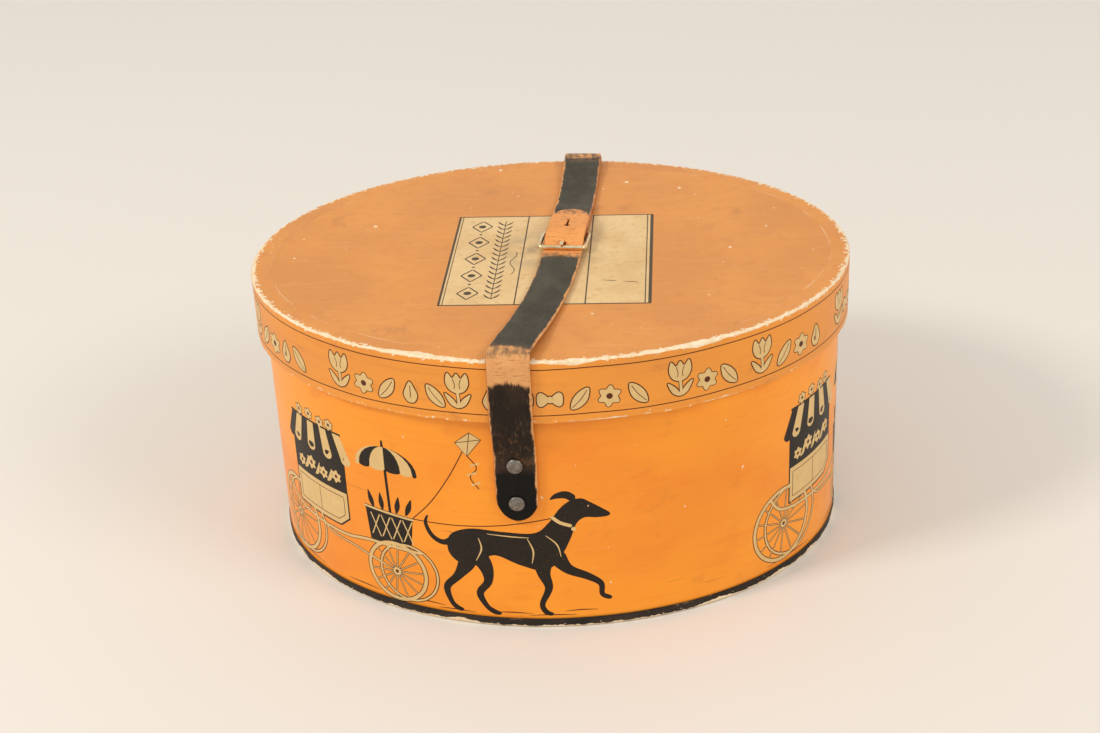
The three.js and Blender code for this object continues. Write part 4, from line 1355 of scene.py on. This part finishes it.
def carve(item, cutters, route):
    """Takes closed cutter meshes out of a strap, then lays out its surface again."""
    for mesh in cutters:
        cutter = bpy.data.objects.new("cutter", mesh)
        bpy.context.scene.collection.objects.link(cutter)
        modifier = item.modifiers.new("cut", "BOOLEAN")
        modifier.operation = "DIFFERENCE"
        modifier.solver = "EXACT"
        modifier.object = cutter
        with bpy.context.temp_override(object=item, active_object=item):
            bpy.ops.object.modifier_apply(modifier=modifier.name)
        bpy.data.objects.remove(cutter)
        bpy.data.meshes.remove(mesh)
    stops = np.linspace(0, route.total, 1200)
    frames = [route.sample(length) for length in stops]
    centres = np.array([centre for centre, _, _ in frames])
    across = np.array([direction for _, direction, _ in frames])
    outward = np.array([normal for _, _, normal in frames])
    mesh = item.data
    places = np.zeros(len(mesh.vertices) * 3)
    mesh.vertices.foreach_get("co", places)
    places = places.reshape(-1, 3) / MM
    nearest = np.array([np.argmin(((centres - place) ** 2).sum(1)) for place in places])
    offset = places - centres[nearest]
    u = (offset * across[nearest]).sum(1)
    w = (offset * outward[nearest]).sum(1)
    side = np.clip(w / (LEATHER / 2 - 0.3), -1, 1)
    surface = np.column_stack([u, stops[nearest], side])
    mesh.attributes["surface"].data.foreach_set("vector", surface.astype(np.float32).ravel())


def hole_cutter(route, y, length, width):
    """A punched hole through the strap where it lies at that y, slightly uneven."""
    at = route.sample(route.find(lambda point: point.y > y))[0]
    turns = np.linspace(0, 2 * math.pi, 20, endpoint=False)
    outline = [
        (width / 2 * math.cos(t) * (1 + 0.08 * math.sin(3 * t)), length / 2 * math.sin(t))
        for t in turns
    ]
    return prism(outline, Matrix.Translation(at) @ Matrix.Rotation(-BUCKLE_HEADING, 4, "Z"), -6, 6)


def rivet_hole_cutters(anchor):
    """Round holes through a strap's foot, hidden under the rivets' caps."""
    through = Matrix.Rotation(math.pi / 2, 4, "X")
    outline = circle((0, 0), 1.9, 24).tolist()
    return [
        prism(outline, anchor @ Matrix.Translation((0, LEG_ON_WALL, z)) @ through, -5, 5)
        for z in RIVET_HEIGHTS.values()
    ]


def build_straps():
    """Both straps, each laid along one smooth route from its riveted foot to its free arm."""
    front, rear = front_route, rear_route
    tan_start = front.find(lambda point: point.z > LID_TOP - 11)
    tan_end = front.find(lambda point: point.y > -132.5)
    before_bar = front.find(lambda point: point.y > -16)
    billet_start = front.find(lambda point: point.y > -11.5)
    front_tan = [(tan_start, tan_end, 1.4), (before_bar, front.total + 30, 1.6)]
    front_grey = [
        (front.total - 8, front.total + 9, 3.0),
        (before_bar - 2.5, before_bar + 3.5, 1.2),
        (tan_end - 8, tan_end + 2, 2.0),
    ]
    dark_end = front.find(lambda point: point.z > RIVETS_DARK_TO)
    dyed = strap_leather("front_leather", front_tan, front_grey, dark_end, before_bar, tan_end)

    def whole(_):
        return LEATHER

    def foot_half(length):
        return round_end(length + 0.15, 12, 1.5)

    def billet_half(length):
        return round_end(front.total - length + 0.15, 15, 2.2)

    arm_end = billet_start - GAP
    arm = leather("front_strap_leather", front, 0, arm_end, whole, foot_half, dyed)
    carve(arm, [hole_cutter(front, -15.5, 2.6, 2.6), *rivet_hole_cutters(front_anchor)], front)
    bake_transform(arm)
    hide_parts("front_strap_foot", "front_strap")

    billet = leather(
        "front_billet_leather", front, billet_start, front.total, whole, billet_half, dyed
    )
    holes = [(-3.6, 4.6, 3.2), (13.6, 3.6, 3.6), (17.6, 8.0, 1.5), (22.0, 2.8, 2.2)]
    carve(billet, [hole_cutter(front, *hole) for hole in holes], front)
    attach(billet, "front_strap")
    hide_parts("front_strap_billet")

    over_rim = rear.find(lambda point: point.z > LID_TOP - 9)
    on_lid = rear.find(lambda point: point.z > LID_TOP and point.y < 126, over_rim)
    rear_tan = [(over_rim, on_lid - 3, 1.8)]
    rear_grey = [(over_rim - 4, on_lid + 3, 1.6)]
    dark_end = rear.find(lambda point: point.z > RIVETS_DARK_TO)
    dyed = strap_leather("rear_leather", rear_tan, rear_grey, dark_end, rear.total, on_lid, 0.9)
    skived = [rear.find(lambda point, y=y: point.y < y, on_lid) for y in SKIVING]

    def skive(length):
        return float(np.interp(length, skived, [LEATHER, SKIVED]))

    arm = leather("rear_strap_leather", rear, 0, rear.total, skive, foot_half, dyed)
    slot = Matrix.Translation(HEEL_BAR) @ Matrix.Rotation(-BUCKLE_HEADING, 4, "Z")
    outline = smooth([(-2.1, -4.7), (2.1, -4.7), (2.1, 3.2), (0, 5.2), (-2.1, 3.2)])
    carve(arm, [prism(outline, slot, -5, 5), *rivet_hole_cutters(rear_anchor)], rear)
    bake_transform(arm)
    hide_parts("rear_strap_foot", "rear_strap")


def build_stitches(material):
    """Rows of waxed thread through the rear strap's fold, seen above it and below."""
    above = rear_route.find(lambda point: point.z > LID_TOP and point.y < 44)
    below = rear_route.total - 26
    vertices, faces = [], []
    pitch, length = 3.3, 2.5
    sides, rings, radius = 6, 7, 0.34
    pressed_in = 0.38  # the lower rows lie in the leather, clear of the lid

    def stitch(start, row, surface):
        faces.extend([list(face) for face in tube_faces(rings, sides, first=len(vertices))])
        for share in np.linspace(0, 1, rings):
            centre, across, out = rear_route.sample(start + length * share)
            rise = surface - 0.15 + 0.35 * math.sin(math.pi * share)
            for t in np.linspace(0, 2 * math.pi, sides, endpoint=False):
                place = across * (row + radius * math.cos(t)) + out * (rise + radius * math.sin(t))
                vertices.append(centre + place)

    for row in (-8.4, 8.4):
        for k in range(7):
            thick = float(np.interp(k, [3, 6], [LEATHER, 0.5 * (LEATHER + SKIVED)]))
            stitch(above + pitch * k, row, thick / 2)
            stitch(below + pitch * k, row, SKIVED / 2 - pressed_in)
    piece("rear_stitches", vertices, faces, material, "rear_strap")


# ------------------------------------------------------------- rivets


def lathe(name, profile, matrix, material, body, replaces, count=48):
    """A turned piece: (radius, height) corners from the axis out and back to it, turned
    about its own Y axis. A profile that doesn't start on the axis is closed to a ring."""
    on_axis = profile[0][0] == 0
    turns = np.linspace(0, 2 * math.pi, count, endpoint=False)
    middle = profile[1:-1] if on_axis else profile
    vertices = [
        matrix @ Vector((radius * math.cos(t), height, radius * math.sin(t)))
        for radius, height in middle
        for t in turns
    ]
    rows = len(middle)
    faces = tube_faces(rows, count, looped=not on_axis, capped=False)
    if on_axis:
        for height, row in ((profile[0][1], 0), (profile[-1][1], rows - 1)):
            vertices.append(matrix @ Vector((0, height, 0)))
            tip = len(vertices) - 1
            faces += [(tip, row * count + k, row * count + (k + 1) % count) for k in range(count)]
    return piece(name, vertices, faces, material, body, replaces, sharp=30)


RIVET_CAP = 4.4
RIVET_CAP_HEIGHT = 1.9
SHANK = 1.6
PEEN = 2.6
BURR = 4.2
BURR_HOLE = 1.9
BURR_THICKNESS = 0.8


def build_rivets(material):
    """Domed rivets with their peened ends, and the burrs that they are peened over."""
    cap_base = LEG_ON_WALL - LEATHER / 2 - GAP
    cap_top = cap_base - RIVET_CAP_HEIGHT
    burr = HALF_LENGTH - wall_liner_high.x + PAPER + GAP
    burr_end = burr + BURR_THICKNESS
    peen = burr_end + GAP
    dome = [
        (RIVET_CAP * math.sin(t), cap_top + 1.5 * (1 - math.cos(t)))
        for t in np.linspace(0.12, math.pi / 2, 9)
    ]
    shank = [(RIVET_CAP, cap_base - 0.15), (RIVET_CAP - 0.15, cap_base), (SHANK, cap_base), (SHANK, peen)]
    peened = [(PEEN - 0.1, peen), (PEEN, peen + 0.2), (2.0, peen + 0.55), (1.0, peen + 0.68)]
    rivet = [(0, cap_top), *dome, *shank, *peened, (0, peen + 0.7)]
    washer = [(BURR_HOLE, burr), (BURR - 0.2, burr), (BURR, burr + 0.2)]
    washer += [(BURR, burr_end - 0.2), (BURR - 0.2, burr_end), (BURR_HOLE, burr_end)]
    for side, anchor in (("front", front_anchor), ("rear", rear_anchor)):
        for place, z in RIVET_HEIGHTS.items():
            matrix = anchor @ Matrix.Translation((0, 0, z))
            node = f"{side}_{place}"
            lathe(f"{node}_rivet_metal", rivet, matrix, material, "base", [f"{node}_rivet"])
            lathe(f"{node}_burr_metal", washer, matrix, material, "base", [f"{node}_burr"])


# ------------------------------------------------------------- buckle

buckle_matrix = (
    Matrix.Translation(HEEL_BAR)
    @ Matrix.Rotation(-BUCKLE_HEADING, 4, "Z")
    @ Matrix.Rotation(-FRAME_TILT, 4, "X")
)


def bar_loop(node, path, closed, material):
    """Metal bar in place of a CAD node of the same name as its body, swept along a path in
    the buckle's frame. Path items are (point, direction across the bar, width, thickness)."""
    count = 16
    squareness = 0.72  # 1 for an oval section, less for a squarer one
    turns = np.linspace(0, 2 * math.pi, count, endpoint=False)
    vertices = []
    for index, (point, across, width, thick) in enumerate(path):
        ahead = (index + 1) % len(path) if closed else min(index + 1, len(path) - 1)
        before = index - 1 if closed else max(index - 1, 0)
        up = (path[ahead][0] - path[before][0]).cross(across).normalized()
        for t in turns:
            c, s = math.cos(t), math.sin(t)
            u = math.copysign(abs(c) ** squareness, c) * width / 2
            w = math.copysign(abs(s) ** squareness, s) * thick / 2
            vertices.append(buckle_matrix @ (point + across * u + up * w))
    faces = tube_faces(len(path), count, looped=closed)
    return piece(f"{node}_metal", vertices, faces, material, node, [node], sharp=50)


def build_buckle_frame(material):
    """A rectangular frame with rounded corners: its four bars and the bends after them."""
    half = (FRAME_WIDTH - FRAME_SIDE) / 2
    corner = 2.2
    tip = -FRAME_REACH
    left, right = -half + corner, half - corner
    bars = [
        ((left, tip, 0), (right, tip, 0), (0, -1, 0), TIP_BAR_WIDTH),
        ((half, tip + corner, 0), (half, -corner, 0), (1, 0, 0), FRAME_SIDE),
        ((right, 0, 0), (left, 0, 0), (0, 1, 0), HEEL_BAR_WIDTH),
        ((-half, -corner, 0), (-half, tip + corner, 0), (-1, 0, 0), FRAME_SIDE),
    ]
    path = []
    for index, (begin, end, out, width) in enumerate(bars):
        begin, end, out = Vector(begin), Vector(end), Vector(out)
        for share in np.arange(1, 12) / 12:
            swell = math.sin(math.pi * share) ** 0.5
            bar_width = FRAME_SIDE + (width - FRAME_SIDE) * swell
            path.append((begin.lerp(end, share), out, bar_width, FRAME_THICKNESS))
        middle = end - out * corner
        for t in np.radians(90 * index - 90 + 15 * np.arange(7)):
            out = Vector((math.cos(t), math.sin(t), 0))
            path.append((middle + out * corner, out, FRAME_SIDE, FRAME_THICKNESS))
    bar_loop("buckle_frame", path, True, material)


def build_buckle_tongue(material):
    """A strip wound under, behind and over the heel bar, then out over the tip bar."""
    eye = HEEL_BAR_WIDTH / 2 + GAP + 0.55
    rest = FRAME_THICKNESS / 2 + GAP + 0.9
    winding = np.linspace(-0.75, -2 * math.pi + 0.95, 26)
    route = [(eye * math.cos(t), eye * math.sin(t), 2.3, 1.1) for t in winding]
    route += [(2.5, 0.7, 2.4, 1.3), (4.2, 0.1, 2.4, 1.5)]
    route += [(reach, 0.0, 2.4, 1.5) for reach in (6.0, 9.0, 11.5)]
    route += [(14.0, 0.6, 2.4, 1.6), (17.0, 1.6, 2.3, 1.6), (19.8, rest, 2.3, 1.5), (22.4, rest, 2.2, 1.4)]
    route += [(24.0, rest - 0.1, 1.9, 1.2), (24.8, rest - 0.25, 1.2, 0.8)]
    across = Vector((1, 0, 0))
    strip = [(Vector((0, -reach, height)), across, width, thick) for reach, height, width, thick in route]
    bar_loop("buckle_tongue", strip, False, material)


# ------------------------------------------------------------- boards left as CAD


def finish_boards(material):
    """The boards keep their CAD shapes, since only their edges could ever be seen."""
    for node in ("base_wall_board", "base_floor_board", "lid_top_board", "lid_band_board"):
        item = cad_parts[node]
        item.data.materials.clear()
        item.data.materials.append(material)


# ------------------------------------------------------------- stage

CAMERA_PLACE = Vector((44.0, -962.9, 594.3))
CAMERA_YAW, CAMERA_PITCH, CAMERA_ROLL = -0.0485, 0.4807, 0.0482
CAMERA_LENS = 59.75


def build_camera():
    yaw, pitch, roll = CAMERA_YAW, CAMERA_PITCH, CAMERA_ROLL
    forward = Vector((math.sin(yaw) * math.cos(pitch), math.cos(yaw) * math.cos(pitch), -math.sin(pitch)))
    level = Vector((math.cos(yaw), -math.sin(yaw), 0))
    down = forward.cross(level)
    right = level * math.cos(roll) + down * math.sin(roll)
    lower = down * math.cos(roll) - level * math.sin(roll)
    camera = bpy.data.cameras.new("camera")
    camera.lens = CAMERA_LENS
    camera.sensor_width = 36.0
    camera.clip_end = 50.0
    item = bpy.data.objects.new("camera", camera)
    turn = Matrix((right, -lower, -forward)).transposed().to_4x4()
    item.matrix_world = Matrix.Translation(CAMERA_PLACE * MM) @ turn
    bpy.context.scene.collection.objects.link(item)
    bpy.context.scene.camera = item


def area_light(name, place, aim, size, power, colour):
    light = bpy.data.lights.new(name, "AREA")
    light.shape = "RECTANGLE"
    light.size, light.size_y = size
    light.energy = power
    light.color = colour
    item = bpy.data.objects.new(name, light)
    item.location = place
    item.rotation_euler = (Vector(aim) - Vector(place)).to_track_quat("-Z", "Y").to_euler()
    bpy.context.scene.collection.objects.link(item)


def pale_floor():
    finish = Finish("floor", 0.9, IOR=1.3)
    colour = finish.mix(finish.noise(900, detail=2), (234, 228, 219), (230, 224, 215))
    return finish.made(colour, (finish.noise(60, detail=2), 0.1))


def build_stage():
    """Pale floor, bright even surroundings and two soft lights."""
    reach, level = 6000, -0.05
    corners = [(x * reach, y * reach, level) for x, y in ((-1, -1), (1, -1), (1, 1), (-1, 1))]
    floor = piece("floor", corners, [range(4)], pale_floor(), None)

    world = bpy.data.worlds.new("studio")
    world.use_nodes = True
    background = world.node_tree.nodes["Background"]
    background.inputs["Color"].default_value = paint(250, 247, 242)
    background.inputs["Strength"].default_value = 0.76
    bpy.context.scene.world = world
    area_light("key", (-2.2, -1.2, 2.2), (0, 0, 0.1), (0.6, 0.6), 39, (1.0, 0.98, 0.94))
    area_light("fill", (2.3, -1.5, 2.3), (0, 0.1, 0.1), (1.3, 1.1), 29, (1.0, 0.98, 0.96))
    bpy.context.scene.view_settings.view_transform = "Standard"


# ------------------------------------------------------------- all together

finishes = {
    "printed": printed_paper(),
    "band": band_paper(),
    "top": top_paper("top_paper"),
    "rim": top_paper("rim_paper", rim=True),
    "core": cream_core(),
    "tape": black_tape(),
    "plain": plain_paper(),
    "panel": panel_paper(),
    "black_ink": ink("black_ink", (28, 22, 18), (44, 36, 28), 0.25),
    "brown_ink": ink("brown_ink", (98, 50, 20), (78, 40, 18), 0.3),
    "cream_ink": ink("cream_ink", (230, 196, 138), (210, 172, 110), 0.3),
    "panel_ink": ink("panel_ink", (64, 52, 38), (92, 76, 54), 0.0),
}

build_camera()
build_stage()
build_base(finishes)
build_lid(finishes)
build_wall_picture(finishes)
build_frieze(finishes)
build_panel(finishes)
scatter_chips(finishes)
build_straps()
build_stitches(waxed_thread())
build_rivets(dull_steel())
brass = worn_brass()
build_buckle_frame(brass)
build_buckle_tongue(brass)
finish_boards(grey_board())
